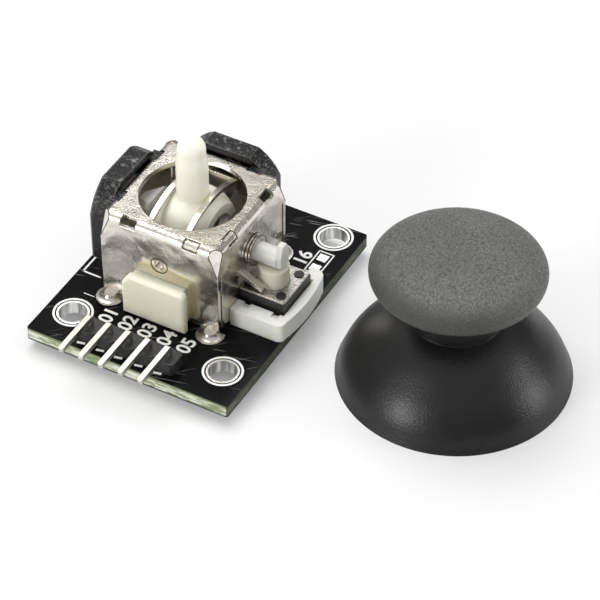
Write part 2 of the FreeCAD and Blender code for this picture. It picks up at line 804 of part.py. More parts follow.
def spring_seat():
    """Cup under the ball foot, with a flange for the spring and a sleeve over the post."""
    bore = post_radius + seat_bore_play
    low = seat_flange_top - seat_flange_thickness
    seat = fused(rod(seat_flange_radius, (0, 0, low), (0, 0, seat_flange_top)),
                 rod(seat_boss_radius, (0, 0, seat_sleeve_end), (0, 0, seat_top)))
    seat = seat.cut(Part.makeSphere(seat_cup_radius, Vector(0, 0, axis_height)))
    return seat.cut(rod(bore, (0, 0, 0), (0, 0, post_top + seat_bore_headroom)))


def return_spring():
    """Coil spring between the floor and the seat's flange, with six-sided wire."""
    low = floor_thickness + spring_wire / 2
    high = seat_flange_top - seat_flange_thickness - spring_wire / 2
    steps = spring_turns * spring_steps
    sections = []
    for k in range(steps + 1):
        turn = 2 * math.pi * k / spring_steps
        level = low + (high - low) * k / steps
        corners = []
        for side in range(6):
            around = math.pi / 3 * side + math.pi / 6
            reach = spring_radius + spring_wire / 2 * math.cos(around)
            corners.append(Vector(reach * math.cos(turn), reach * math.sin(turn),
                                  level + spring_wire / 2 * math.sin(around)))
        sections.append(Part.makePolygon(corners + corners[:1]))
    return Part.makeLoft(sections, True, True)


def pot_outline(radius, half, flat, foot, x0, x1):
    """Arched outline of a potentiometer, clipped at its sides and top, as a plate."""
    shoulder = axis_height + math.sqrt(max(radius ** 2 - half ** 2, 0))
    top = axis_height + flat
    reach = math.sqrt(radius ** 2 - flat ** 2)
    middle = math.radians(45)
    side, rise = radius * math.cos(middle), axis_height + radius * math.sin(middle)
    edges = [
        Part.LineSegment(Vector(x0, -half, foot), Vector(x0, -half, shoulder)),
        Part.Arc(Vector(x0, -half, shoulder), Vector(x0, -side, rise), Vector(x0, -reach, top)),
        Part.LineSegment(Vector(x0, -reach, top), Vector(x0, reach, top)),
        Part.Arc(Vector(x0, reach, top), Vector(x0, side, rise), Vector(x0, half, shoulder)),
        Part.LineSegment(Vector(x0, half, shoulder), Vector(x0, half, foot)),
        Part.LineSegment(Vector(x0, half, foot), Vector(x0, -half, foot)),
    ]
    face = Part.Face(Part.Wire([edge.toShape() for edge in edges]))
    return face.extrude(Vector(x1 - x0, 0, 0))


def pot_housing():
    """Black cup on the outside of the left wall, with hooks over the fold and an open inner side."""
    x0 = -(half_frame + pot_depth)
    x1 = -half_frame
    half = pot_radius - pot_side_trim
    flat = pot_radius - pot_top_trim
    far = pot_radius - pot_far_trim
    cup = pot_outline(pot_radius, half, flat, pot_foot, x0, x1)
    outer_edges = [e for e in cup.Edges if max(v.X for v in e.Vertexes) < x0 + 0.01]
    upper_edges = [e for e in outer_edges if max(v.Z for v in e.Vertexes) > pot_foot + 0.01]
    cup = cup.makeChamfer(pot_edge, upper_edges)
    cup = cup.common(box(x0 - 1, x1 + 1, -pot_radius - 1, far, 0, 3 * axis_height))
    hollow = pot_outline(pot_radius - pot_wall, half - pot_wall, flat - pot_wall,
                         pot_foot + pot_wall, x0 + pot_wall, x1 + 1)
    hollow = hollow.common(box(x0 - 1, x1 + 2, -pot_radius - 1, far - pot_wall, 0, frame_height - track_gap))
    cup = cup.cut(hollow)
    for x, y in terminal_places():
        across, along = terminal_notch_width / 2, terminal_notch_length / 2
        cup = cup.cut(box(x - across, x + across, y - along, y + along, -1, pot_foot + terminal_notch_rise))
    hooks = []
    for y in (-slot_offset, slot_offset):
        top = frame_height - slot_depth / 2 + hook_thickness / 2
        hooks.append(box(x1 - 0.4, x1 + slot_depth * hook_reach_share, y - hook_width / 2, y + hook_width / 2,
                         top - hook_thickness, top))
    return fused(cup, *hooks)


def pot_track():
    """Resistive board inside the housing."""
    x0 = -(half_frame + pot_depth) + pot_wall
    x1 = x0 + track_thickness
    radius = pot_radius - pot_wall - track_inset
    return pot_outline(radius, radius, radius - track_top_trim, pot_foot + pot_wall + track_play, x0, x1)


def pot_terminals():
    """Three terminal strips against the resistive board, down through the board."""
    strips = []
    for x, y in terminal_places():
        half = terminal_thickness / 2
        strips.append(box(x - half, x + half, y - terminal_width / 2, y + terminal_width / 2, -pin_drop,
                          terminal_head))
    return Part.makeCompound(strips)


def rotor_disc():
    """Rotor disc outside the wall, with its hub through the wall."""
    x1 = -(half_frame + rotor_start)
    x0 = x1 - rotor_thickness
    return fused(rod(rotor_radius, (x0, 0, axis_height), (x1, 0, axis_height)),
                 rod(hub_radius, (x0, 0, axis_height), (-hub_inner_end, 0, axis_height)))


def pot_x_rotor():
    """Left rotor, with a socket for the yoke's tongue."""
    half_y = tongue_width / 2 + tongue_play_y
    half_z = tongue_height / 2 + tongue_play_z
    end = tongue_end + tongue_end_play
    return rotor_disc().cut(box(-end, 0, -half_y, half_y, axis_height - half_z, axis_height + half_z))


def pot_y_rotor():
    """Rear rotor, with a key into the arch's rear tab, drawn on the left side."""
    key = box(-hub_inner_end - 0.2, -arch_tab_outer + arch_sheet, -tongue_width / 2, tongue_width / 2,
              axis_height - rotor_key_half, axis_height + rotor_key_half)
    return fused(rotor_disc(), key)


def pot_wiper():
    """Brass wiper plate on the rotor, with two sprung fingers towards the track."""
    x1 = -(half_frame + rotor_start + rotor_thickness)
    x0 = x1 - wiper_thickness
    plate = rod(wiper_radius * wiper_plate_share, (x0, 0, axis_height), (x1, 0, axis_height))
    track_face = -(half_frame + pot_depth) + pot_wall + track_thickness + track_gap
    fingers = []
    top = axis_height + wiper_radius
    middle = axis_height + wiper_finger_rise
    foot = middle - wiper_finger_foot
    outline = [(x1, foot), (x0, foot), (track_face, top - wiper_tip_height), (track_face, top),
               (track_face + wiper_tip_thickness, top), (x1, middle)]
    for y in wiper_fingers:
        fingers.append(plate_xz(outline, y, y + wiper_finger_width))
    return fused(plate, *fingers)


def header_block():
    """Black strip of the header, notched between its pins."""
    places = header_places()
    half = header_pitch / 2
    y = places[0][1]
    z1 = board_thickness + header_block_height
    cells = []
    for x, _ in places:
        cell = box(x - half, x + half, y - header_block_depth / 2, y + header_block_depth / 2, board_thickness, z1)
        uprights = [e for e in cell.Edges if abs(e.Vertexes[0].Z - e.Vertexes[1].Z) > 0.1]
        cells.append(cell.makeChamfer(header_block_chamfer, uprights))
    block = fused(*cells)
    side = header_pin_side / 2
    holes = [box(x - side, x + side, y - side, y + side, 0, z1 + 1) for x, y in places]
    return block.cut(Part.makeCompound(holes))


def header_pins():
    """Five square pins, up through the strip and bent forward over it."""
    side = header_pin_side / 2
    low = board_thickness + header_block_height + header_pin_lift
    pins = []
    for x, y in header_places():
        shank = box(x - side, x + side, y - side, y + side, -pin_reach_below, low + 2 * side)
        shank = shank.makeFillet(header_pin_bend, [e for e in shank.Edges if all(
            v.Y > y and v.Z > low + side for v in e.Vertexes)])
        reach = box(x - side, x + side, y + side - header_pin_reach, y, low, low + 2 * side)
        tip_edges = [e for e in reach.Edges if all(v.Y < y - 2 for v in e.Vertexes)]
        reach = reach.makeChamfer(header_pin_point, tip_edges)
        pins.append(fused(shank, reach))
    return Part.makeCompound(pins)


def solder_cone(x, y, hole):
    """Solder cone under the board round one pin."""
    cone = Part.makeCone(cone_tip_radius, cone_radius, cone_height, Vector(x, y, -cone_height))
    return cone.cut(hole)


def joint_solder():
    """Solder under the header, switch and potentiometer pins."""
    cones = []
    side = header_pin_side / 2
    for x, y in header_places():
        cones.append(solder_cone(x, y, box(x - side, x + side, y - side, y + side, -3, 1)))
    pins = fused_pins()
    for x, y in terminal_places() + [(-y, -x) for x, y in terminal_places()] + switch_leg_places():
        cones.append(solder_cone(x + mech_x, y + mech_y, pins))
    return Part.makeCompound(cones)


def fused_pins():
    """Every thin terminal of the mechanism, in its place on the board."""
    left = pot_terminals()
    return at_mechanism(Part.makeCompound([left, to_rear(left), switch_terminals()]))


def solder_mound(x, y, inner, rise):
    """Solder on a pad: a thin rim, a hollow slope and a peak round the leg. A negative rise points down."""
    way = math.copysign(1, rise)
    rim = way * frame_pad_thickness
    peak = leg_width * frame_peak_share
    slope = ((frame_pad_radius + peak) / 2 - frame_slope_sag, (rim + rise) / 2 - way * frame_slope_sag)
    return turned([
        line((0, 0), (frame_pad_radius, 0)),
        line((frame_pad_radius, 0), (frame_pad_radius, rim)),
        bow((frame_pad_radius, rim), slope, (peak, rise)),
        line((peak, rise), (0, rise)),
        line((0, rise), (0, 0)),
    ], x, y).cut(inner)


def frame_solder():
    """Solder round the frame's legs, above and below the board."""
    mounds = []
    for x, y in frame_leg_places():
        leg = box(x - leg_width / 2, x + leg_width / 2, y - sheet / 2, y + sheet / 2, -2 * pin_drop, frame_height)
        side = math.copysign(1, y)
        inside = sorted((side * inner_frame, -side * half_frame))
        room = box(x - 2 * frame_pad_radius, x + 2 * frame_pad_radius, inside[0], inside[1], -1, frame_height)
        mounds.append(solder_mound(x, y + side * frame_pad_shift, leg.fuse(room), frame_cone_height))
        under = solder_mound(x, y, leg, -frame_cone_height)
        under.translate(Vector(0, 0, -board_thickness))
        mounds.append(under)
    return at_mechanism(Part.makeCompound(mounds))


def cap_skirt():
    """Smooth bell of the cap with the socket for the shaft."""
    base = floor_level
    outer = []
    for rise, inset in skirt_curve:
        outer.append((skirt_radius - inset * (skirt_radius - neck_radius), base + rise * neck_height))
    inner = [(skirt_radius - skirt_wall, base)]
    for before, here, after in zip(outer, outer[1:], outer[2:-2]):
        run, rise = after[0] - before[0], after[1] - before[1]
        length = math.hypot(run, rise)
        inner.append((here[0] - skirt_wall * rise / length, here[1] + skirt_wall * run / length))
    inner = inner[:1] + [point for point in inner[1:] if point[1] > base + 0.3]
    socket_out = shaft_radius + socket_play + socket_wall
    neck = base + neck_height
    top = base + grip_underside - grip_seat_depth
    waist = top - neck_flare_height
    flare_middle = ((neck_waist_radius + neck_flare_radius) / 2 - neck_flare_sag, top - 0.4 * neck_flare_height)
    foot = base + socket_start
    roof = neck - 1.5 * skirt_wall
    body = turned([
        spline(outer),
        line(outer[-1], (neck_waist_radius, waist)),
        bow((neck_waist_radius, waist), flare_middle, (neck_flare_radius, top)),
        line((neck_flare_radius, top), (0, top)),
        line((0, top), (0, foot)),
        line((0, foot), (socket_out, foot)),
        line((socket_out, foot), (socket_out, roof)),
        line((socket_out, roof), inner[-1]),
        spline(inner[::-1]),
        line(inner[0], outer[0]),
    ], cap_x, cap_y)
    bore = rod(shaft_radius + socket_play, (cap_x, cap_y, base), (cap_x, cap_y, foot + socket_depth))
    plug = rod(grip_plug_radius + grip_plug_play, (cap_x, cap_y, top - grip_plug_length - 0.1),
               (cap_x, cap_y, top + 1))
    return body.cut(bore).cut(plug)


def cap_grip():
    """Rubbery disc of the cap, with the plug that holds it in the neck."""
    under = floor_level + grip_underside
    seat = under - grip_seat_depth
    foot = seat - grip_plug_length
    dome = [(share * grip_radius, under + rise * grip_height) for share, rise in grip_curve]
    return turned([
        line((0, foot), (grip_plug_radius, foot)),
        line((grip_plug_radius, foot), (grip_plug_radius, seat)),
        line((grip_plug_radius, seat), (neck_flare_radius, seat)),
        line((neck_flare_radius, seat), dome[0]),
        spline(dome),
        line(dome[-1], (0, foot)),
    ], cap_x, cap_y)


def build():
    """Every node of the part, by name."""
    nodes = {
        "circuit_board": circuit_board(),
        "header_block": header_block(),
        "header_pins": header_pins(),
        "frame_solder": frame_solder(),
        "joint_solder": joint_solder(),
        "cap_grip": cap_grip(),
        "cap_skirt": cap_skirt(),
    }
    on_mechanism = {
        "metal_frame": metal_frame(),
        "base_plate": base_plate(),
        "stick": stick(),
        "stick_pin": stick_pin(),
        "yoke": yoke(),
        "slotted_arch": slotted_arch(),
        "spring_seat": spring_seat(),
        "return_spring": return_spring(),
        "switch_body": switch_body(),
        "switch_cover": switch_cover(),
        "switch_dome": switch_dome(),
        "switch_button": switch_button(),
        "switch_terminals": switch_terminals(),
        "pot_x_rotor": pot_x_rotor(),
        "pot_y_rotor": to_rear(pot_y_rotor()),
        "pot_x_housing": pot_housing(),
        "pot_x_track": pot_track(),
        "pot_x_terminals": pot_terminals(),
        "pot_x_wiper": pot_wiper(),
    }
    for piece in ("housing", "track", "terminals", "wiper"):
        on_mechanism["pot_y_" + piece] = to_rear(on_mechanism["pot_x_" + piece])
    for name, shape in on_mechanism.items():
        nodes[name] = at_mechanism(shape)
    return nodes


os.makedirs("parts", exist_ok=True)
for name, shape in build().items():
    shape.exportStep("parts/" + name + ".step")
    print(name, "solids", len(shape.Solids), "valid", shape.isValid(), "volume", round(shape.Volume, 3))
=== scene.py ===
# %% [markdown]
# # A two-axis joystick and its thumb cap
# The object is a small electronics part: a drilled circuit board that carries a folded metal can
# with a stick in it, two black potentiometers, a push switch and a bent pin header. The thumb cap
# stands beside it. The solid shapes come from the imported CAD model, so this lesson only dresses
# them: camera, light, finishes that also paint some shade and highlights, and the print, the plating,
# the fine gaps and the painted crease shade, which are thinner than anything that a CAD model draws.

# %% Load the frame
import json
import math

import bmesh
import bpy
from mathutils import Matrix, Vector


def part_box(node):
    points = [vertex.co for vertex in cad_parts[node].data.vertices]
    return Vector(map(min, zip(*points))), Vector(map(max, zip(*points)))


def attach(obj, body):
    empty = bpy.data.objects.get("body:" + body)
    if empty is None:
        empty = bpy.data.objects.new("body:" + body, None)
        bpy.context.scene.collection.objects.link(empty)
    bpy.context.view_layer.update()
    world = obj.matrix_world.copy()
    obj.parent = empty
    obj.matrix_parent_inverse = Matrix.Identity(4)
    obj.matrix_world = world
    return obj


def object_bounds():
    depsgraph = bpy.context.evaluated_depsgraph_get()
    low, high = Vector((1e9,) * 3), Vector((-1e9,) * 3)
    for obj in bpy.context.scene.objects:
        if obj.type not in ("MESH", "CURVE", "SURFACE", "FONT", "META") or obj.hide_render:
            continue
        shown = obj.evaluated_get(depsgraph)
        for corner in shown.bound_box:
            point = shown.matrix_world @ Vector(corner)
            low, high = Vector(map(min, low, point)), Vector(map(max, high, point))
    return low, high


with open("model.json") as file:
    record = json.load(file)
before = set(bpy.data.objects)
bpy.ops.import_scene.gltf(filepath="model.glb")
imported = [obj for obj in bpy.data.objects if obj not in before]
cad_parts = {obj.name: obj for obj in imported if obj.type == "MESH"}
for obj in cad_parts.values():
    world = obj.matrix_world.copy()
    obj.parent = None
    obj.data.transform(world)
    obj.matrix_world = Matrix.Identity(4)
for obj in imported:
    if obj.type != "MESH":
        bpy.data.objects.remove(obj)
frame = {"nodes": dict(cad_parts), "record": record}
cad_low, cad_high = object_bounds()
nodes = frame["nodes"]
mm = 0.001
print("CAD box in mm:", [round(v / mm, 2) for v in (*cad_low, *cad_high)])

# %% [markdown]
# ## Camera
# The part was photographed from the front right and from rather high up, with a long lens, so its
# upright edges stay upright. A camera that stands far away with a narrow field does the same. Its
# place was found by matching the board's corners, its drilled holes and the pins.

# %% Camera
camera_data = bpy.data.cameras.new("camera")
camera_data.lens = 180.17
camera_data.sensor_width = 36.0
camera_data.clip_start = 0.01
camera_data.clip_end = 20.0
camera = bpy.data.objects.new("camera", camera_data)
camera.location = (132.83 * mm, -215.62 * mm, 232.46 * mm)
camera.rotation_euler = (math.radians(47.133), 0.0, math.radians(29.185))
bpy.context.scene.collection.objects.link(camera)
bpy.context.scene.camera = camera
bpy.context.scene.view_settings.view_transform = "Standard"
print("camera stands", round(camera.location.length, 3), "m from the origin")

# %% [markdown]
# ## Floor and light
# A product photograph like this one is taken on white paper under large soft lamps. The floor is
# pale grey, and it glows a little for camera and mirror rays alone, so it reads as white paper
# while the shadow stays and no extra light falls on the object.

# %% Floor


def node_material(name):
    """A new material, with its node tree and its Principled shader."""
    material = bpy.data.materials.new(name)
    material.use_nodes = True
    tree = material.node_tree
    shader = tree.nodes["Principled BSDF"]
    return material, tree, shader


paper, tree, shader = node_material("white paper")
shader.inputs["Roughness"].default_value = 0.9
shader.inputs["Specular IOR Level"].default_value = 0.1
shader.inputs["Base Color"].default_value = (0.68, 0.68, 0.68, 1)
paper_glow = 0.20
rays = tree.nodes.new("ShaderNodeLightPath")
seen = tree.nodes.new("ShaderNodeMath")
seen.operation = "MAXIMUM"
tree.links.new(rays.outputs["Is Camera Ray"], seen.inputs[0])
tree.links.new(rays.outputs["Is Glossy Ray"], seen.inputs[1])
lift = tree.nodes.new("ShaderNodeMath")
lift.operation = "MULTIPLY"
lift.inputs[1].default_value = paper_glow
tree.links.new(seen.outputs[0], lift.inputs[0])
shader.inputs["Emission Color"].default_value = (1, 1, 1, 1)
tree.links.new(lift.outputs[0], shader.inputs["Emission Strength"])

floor_mesh = bpy.data.meshes.new("floor")
reach = 3.0
corners = [(-reach, -reach, 0), (reach, -reach, 0), (reach, reach, 0), (-reach, reach, 0)]
floor_mesh.from_pydata(corners, [], [(0, 1, 2, 3)])
floor = bpy.data.objects.new("floor", floor_mesh)
floor.location.z = cad_low.z
floor_mesh.materials.append(paper)
bpy.context.scene.collection.objects.link(floor)
print("floor lies at", round(cad_low.z / mm, 2), "mm")

# %% [markdown]
# Plated metal shows its surroundings more than itself, so it needs something to reflect. The world
# is bright overhead and grey near the horizon, like a room with a pale ceiling.

# %% World
world = bpy.data.worlds.new("soft room")
bpy.context.scene.world = world
world.use_nodes = True
sky = world.node_tree
direction = sky.nodes.new("ShaderNodeTexCoord")
split = sky.nodes.new("ShaderNodeSeparateXYZ")
sky.links.new(direction.outputs["Generated"], split.inputs[0])
ramp = sky.nodes.new("ShaderNodeValToRGB")
ramp.color_ramp.elements[0].position = 0.0
ramp.color_ramp.elements[0].color = (0.16, 0.155, 0.15, 1)
ramp.color_ramp.elements[1].position = 0.75
ramp.color_ramp.elements[1].color = (1.0, 1.0, 1.0, 1)
middle = ramp.color_ramp.elements.new(0.35)
middle.color = (0.22, 0.215, 0.21, 1)
sky.links.new(split.outputs["Z"], ramp.inputs[0])
background = sky.nodes["Background"]
sky.links.new(ramp.outputs[0], background.inputs["Color"])
background.inputs["Strength"].default_value = 0.75
print("world is ready")

# %% [markdown]
# Three softboxes light the part: a large one above and behind, which lays the broad sheen on the
# cap, one at the front left, and one low at the right, which fills the right walls.

# %% Lamps


def soft_lamp(name, place, aim, width, height, power):
    """A rectangular softbox at place, turned towards aim."""
    data = bpy.data.lights.new(name, "AREA")
    data.shape = "RECTANGLE"
    data.size = width
    data.size_y = height
    data.energy = power
    lamp = bpy.data.objects.new(name, data)
    lamp.location = place
    lamp.rotation_euler = (Vector(aim) - Vector(place)).to_track_quat("-Z", "Y").to_euler()
    bpy.context.scene.collection.objects.link(lamp)
    return lamp


target = (10 * mm, 0, 5 * mm)
lamps = [
    soft_lamp("top softbox", (-0.16, 0.12, 0.46), target, 0.40, 0.34, 1.5),
    soft_lamp("front softbox", (-0.20, -0.52, 0.20), target, 0.22, 0.20, 1.68),
    soft_lamp("right softbox", (0.50, 0.20, 0.13), target, 0.20, 0.22, 1.0),
]
print(len(lamps), "lamps")

# %% [markdown]
# ## Shared effects
# Four effects come back in several finishes: a fine grain, which also carries painted shade and
# highlights, a slow drift in tone, hair-thin handling marks, and edges that are a little round, a
# little worn and on some finishes lit by a painted highlight. Each one is a shader node group with
# named inputs, so a finish only sets its values. All of them read the object's own coordinates in
# millimetres, so the grain has its true size and moves with its piece. Joining nodes takes the same
# few lines each time, so a handful of small helpers comes first.

# %% Helpers for groups and nodes


def new_group(name, inputs, outputs):
    """An empty shader group. inputs are (name, kind, value) and outputs are (name, kind)."""
    group = bpy.data.node_groups.new(name, "ShaderNodeTree")
    for label, kind, value in inputs:
        socket = group.interface.new_socket(label, in_out="INPUT", socket_type="NodeSocket" + kind)
        socket.default_value = value
    for label, kind in outputs:
        group.interface.new_socket(label, in_out="OUTPUT", socket_type="NodeSocket" + kind)
    start = group.nodes.new("NodeGroupInput")
    end = group.nodes.new("NodeGroupOutput")
    return group, start, end


def add(tree, kind, links=(), **settings):
    """Adds a node, sets its properties, and joins (output or number, input) pairs to it."""
    node = tree.nodes.new("ShaderNode" + kind)
    for key, value in settings.items():
        setattr(node, key, value)
    for source, socket in links:
        if isinstance(source, (int, float, tuple)):
            node.inputs[socket].default_value = source
        else:
            tree.links.new(source, node.inputs[socket])
    return node


print("groups and nodes can be made")

# %% Helpers for numbers and colours


def times(tree, one, other):
    """Two numbers multiplied."""
    return add(tree, "Math", [(one, 0), (other, 1)], operation="MULTIPLY").outputs[0]


def plus(tree, one, other):
    """Two numbers added."""
    return add(tree, "Math", [(one, 0), (other, 1)], operation="ADD").outputs[0]


def share_between(tree, value, none, full):
    """A share that is 0 where the value is at none and 1 where it is at full."""
    return add(tree, "MapRange", [(value, "Value"), (none, "From Min"), (full, "From Max")]).outputs[0]


def blended(tree, share, low, high):
    """A number between low and high, by a share from 0 to 1."""
    return add(tree, "MapRange", [(share, "Value"), (low, "To Min"), (high, "To Max")]).outputs[0]


def mixed(tree, share, base, other):
    """A colour between two, by a share. base and other are colours or sockets."""
    return add(tree, "Mix", [(share, 0), (base, 6), (other, 7)], data_type="RGBA").outputs[2]


print("numbers and colours can be joined")

# %% Helpers for places


def in_millimetres(tree, stretch=(1.0, 1.0, 1.0)):
    """The object's own coordinates, in millimetres."""
    where = add(tree, "TexCoord")
    scale = tuple(share / mm for share in stretch)
    scaled = [(where.outputs["Object"], 0), (scale, 1)]
    return add(tree, "VectorMath", scaled, operation="MULTIPLY").outputs[0]


def along(tree, axis, none, full):
    """A share that grows from 0 to 1 between two places along X, Y or Z, in mm."""
    parts = add(tree, "SeparateXYZ", [(in_millimetres(tree), 0)])
    return share_between(tree, parts.outputs[axis], none, full)


def facing_up(tree, least, most):
    """A mask of the faces that look up, from the upward part of their normal."""
    side = add(tree, "NewGeometry")
    parts = add(tree, "SeparateXYZ", [(side.outputs["Normal"], 0)])
    return share_between(tree, parts.outputs["Z"], least, most)


def noise(tree, place, scale, detail, roughness=0.5):
    """A soft random pattern. Where detail is 0 it is smooth, and above that finer ones are added."""
    settings = [(place, "Vector"), (scale, "Scale"), (detail, "Detail"), (roughness, "Roughness")]
    return add(tree, "TexNoise", settings).outputs["Fac"]


print("places can be read")

# %% [markdown]
# ### Fine grain
# Moulded and rubbery skins are covered with tiny bumps. A pattern of round cells gives bumps of even
# size, and a noise with finer steps breaks them up. The group puts out the height for a bump, the low
# places for painted shade in the hollows and the high ones for painted highlights on the tips, so
# colour and relief agree.

# %% Fine grain
grain, start, end = new_group(
    "fine grain",
    [("Grains per mm", "Float", 3.0), ("Roundness", "Float", 0.5)],
    [("Height", "Float"), ("Shaded pits", "Float"), ("Lit tips", "Float")])
place = in_millimetres(grain)
per_mm = start.outputs["Grains per mm"]
dust_per_grain = 1.7
pit_shade_at = (0.35, 0.7)
tip_light_at = (0.38, 0.24)
cell_settings = [(place, "Vector"), (per_mm, "Scale"), (0.6, "Smoothness"), (1.0, "Randomness")]
pebbles = add(grain, "TexVoronoi", cell_settings, feature="SMOOTH_F1")
dust = noise(grain, place, times(grain, per_mm, dust_per_grain), 3.0)
height_settings = [(start.outputs["Roundness"], 0), (dust, 2), (pebbles.outputs["Distance"], 3)]
height = add(grain, "Mix", height_settings).outputs[0]
grain.links.new(height, end.inputs["Height"])
# The low places give painted shade in the hollows, the high ones painted highlights on the tips.
grain.links.new(share_between(grain, height, *pit_shade_at), end.inputs["Shaded pits"])
grain.links.new(share_between(grain, height, *tip_light_at), end.inputs["Lit tips"])
print("group", grain.name)

# %% [markdown]
# ### Tone drift
# No real surface has one flat colour. A wide, cloudy noise moves slowly between two tones that are
# close to each other. The cloud itself comes out too, because gloss drifts along with the tone.

# %% Tone drift
drift, start, end = new_group(
    "tone drift",
    [("Base", "Color", (0.5, 0.5, 0.5, 1)), ("Other", "Color", (0.4, 0.4, 0.4, 1)),
     ("Patches per mm", "Float", 0.3), ("Amount", "Float", 0.5)],
    [("Color", "Color"), ("Cloud", "Float")])
clouds_at = (0.3, 0.7)
cloud = noise(drift, in_millimetres(drift), start.outputs["Patches per mm"], 4.0, roughness=0.6)
wide = share_between(drift, cloud, *clouds_at)
share = times(drift, wide, start.outputs["Amount"])
drift.links.new(mixed(drift, share, start.outputs["Base"], start.outputs["Other"]), end.inputs["Color"])
drift.links.new(wide, end.inputs["Cloud"])
print("group", drift.name)

# %% [markdown]
# ### Handling marks
# Parts that were packed loose rub on one another and get hair-thin pale lines, a few together. A
# smooth noise that is stretched along one way and squeezed across it makes such lines, once only its
# highest places are kept. Two layers run in two directions, and a wide noise leaves most places bare.

# %% Handling marks
marks, start, end = new_group(
    "handling marks",
    [("Lines per mm", "Float", 0.5), ("Amount", "Float", 0.4)],
    [("Mask", "Float")])
place = in_millimetres(marks)
regions_per_mm = 0.33
regions_at = (0.52, 0.62)
hair_stretch = (0.28, 11.0, 5.0)
hair_turns = (-0.23, -0.8)
hairs_at = (0.73, 0.77)
marked_places = share_between(marks, noise(marks, place, regions_per_mm, 1.0), *regions_at)
layers = []
for turn in hair_turns:
    swung = add(marks, "VectorRotate", [(place, "Vector"), (turn, "Angle")], rotation_type="Z_AXIS")
    thin = add(marks, "VectorMath", [(swung.outputs[0], 0), (hair_stretch, 1)], operation="MULTIPLY")
    hair = noise(marks, thin.outputs[0], start.outputs["Lines per mm"], 0.0)
    layers.append(share_between(marks, hair, *hairs_at))
every = add(marks, "Math", [(layers[0], 0), (layers[1], 1)], operation="MAXIMUM").outputs[0]
faint = times(marks, times(marks, every, marked_places), start.outputs["Amount"])
marks.links.new(faint, end.inputs["Mask"])
print("group", marks.name)

# %% [markdown]
# ### Soft edges
# An edge that is really sharp looks drawn. The Bevel node turns the normals near an edge as if it
# were rounded, and leaves the mesh as it is. Where the turned normal differs from the true one there
# is an edge, and the same comparison tells a finish where its edges are rubbed, and where a painted
# highlight runs along them.

# %% Soft edges
edges, start, end = new_group(
    "soft edges",
    [("Radius in mm", "Float", 0.06), ("Wear", "Float", 0.5)],
    [("Normal", "Vector"), ("Edge wear and sheen", "Float")])
edges_at = (0.995, 0.9)
metres = times(edges, start.outputs["Radius in mm"], mm)
rounded = add(edges, "Bevel", [(metres, "Radius")], samples=4)
flat = add(edges, "NewGeometry")
both_normals = [(rounded.outputs[0], 0), (flat.outputs["Normal"], 1)]
match = add(edges, "VectorMath", both_normals, operation="DOT_PRODUCT").outputs["Value"]
turned = share_between(edges, match, *edges_at)
# The edge mask serves real wear and painted edge highlights.
edges.links.new(rounded.outputs[0], end.inputs["Normal"])
edges.links.new(times(edges, turned, start.outputs["Wear"]), end.inputs["Edge wear and sheen"])
print("group", edges.name)

# %% [markdown]
# ## Finishes
# A finish is one material. It places the shared groups with its own values, joins them to the
# Principled shader and sets the plain numbers on the shader itself. The helpers below do the part
# that is the same for all: soft edges first, then a bump of grain on top of them.

# %% Helpers for finishes


def place_group(tree, group, **values):
    """Puts a shared group in a material. Names in values use _ for a space."""
    node = tree.nodes.new("ShaderNodeGroup")
    node.node_tree = group
    for key, value in values.items():
        node.inputs[key.replace("_", " ")].default_value = value
    return node


def bumped(tree, shader, height, depth, normal):
    """Gives a shader a relief with a true depth in mm, on top of a normal."""
    relief = [(height, "Height"), (normal, "Normal"), (depth * mm, "Distance"), (1.0, "Strength")]
    tree.links.new(add(tree, "Bump", relief).outputs[0], shader.inputs["Normal"])


def grained(tree, shader, grains, depth, roundness=0.5, radius=0.06, where=None):
    """Gives a shader soft edges and a grain, everywhere or by a mask. Lengths are in mm."""
    soft = place_group(tree, edges, Radius_in_mm=radius, Wear=0.5)
    fine = place_group(tree, grain, Grains_per_mm=grains, Roundness=roundness)
    height = fine.outputs["Height"]
    if where:
        height = times(tree, height, where)
    bumped(tree, shader, height, depth, soft.outputs["Normal"])
    return soft, fine


print("finish helpers are ready")

# %% [markdown]
# ### Moulded plastics
# The stick, the front block, the switch's pocket and the gimbal are natural nylon: milky, slightly
# see-through and smooth. The front block is yellower than the rest of its moulding, and the same warm
# tone reaches the throat beside it as painted warm bounce light in its shade. The stick's bell is
# painted darker and yellower towards its foot, as painted shade down in the can's opening. The header
# and the switch are black moulding with a satin skin and a few pale scuffs. One recipe with two
# colours does them all, and a colour shift along one axis adds the block's tone and the painted shade.
#
# The two potentiometers are the most worn pieces. Their upper faces are rough like sandpaper and
# dull, with pale chips that also stand in for painted glints in streaks, and grain tips painted paler
# as painted sheen, while their sides stay smooth. So chips, glints and grain are all held to the faces
# that look up.

# %% Chipped upper faces with painted glints
scuff_and_glint_tone = (0.42, 0.41, 0.39, 1)
tip_sheen = (0.11, 0.109, 0.105, 1)
chip_glint_stretch = (0.45, 0.45, 1.5)
chip_glints_per_mm = 4.0
chip_glints_at = (0.54, 0.72)
rough_top = 0.12


def chipped_and_glinting(tree, colour, gloss, lit_tips, cloud, upward, amount):
    """Adds painted-sheen tips and pale chips with painted glints to a colour, and dulls the gloss, on
    upper faces.
    """
    speck = noise(tree, in_millimetres(tree, chip_glint_stretch), chip_glints_per_mm, 4.0)
    chip_glint = times(tree, share_between(tree, speck, *chip_glints_at), blended(tree, cloud, 0.0, amount))
    colour = mixed(tree, times(tree, lit_tips, upward), colour, tip_sheen)
    colour = mixed(tree, times(tree, chip_glint, upward), colour, scuff_and_glint_tone)
    return colour, plus(tree, gloss, blended(tree, upward, 0.0, rough_top))


print("chips are ready")

# %% Recipe for a moulding
upper_faces = (0.15, 0.45)
nylon_reach = (1.0, 0.85, 0.6)
nylon_depth = 1.4 * mm


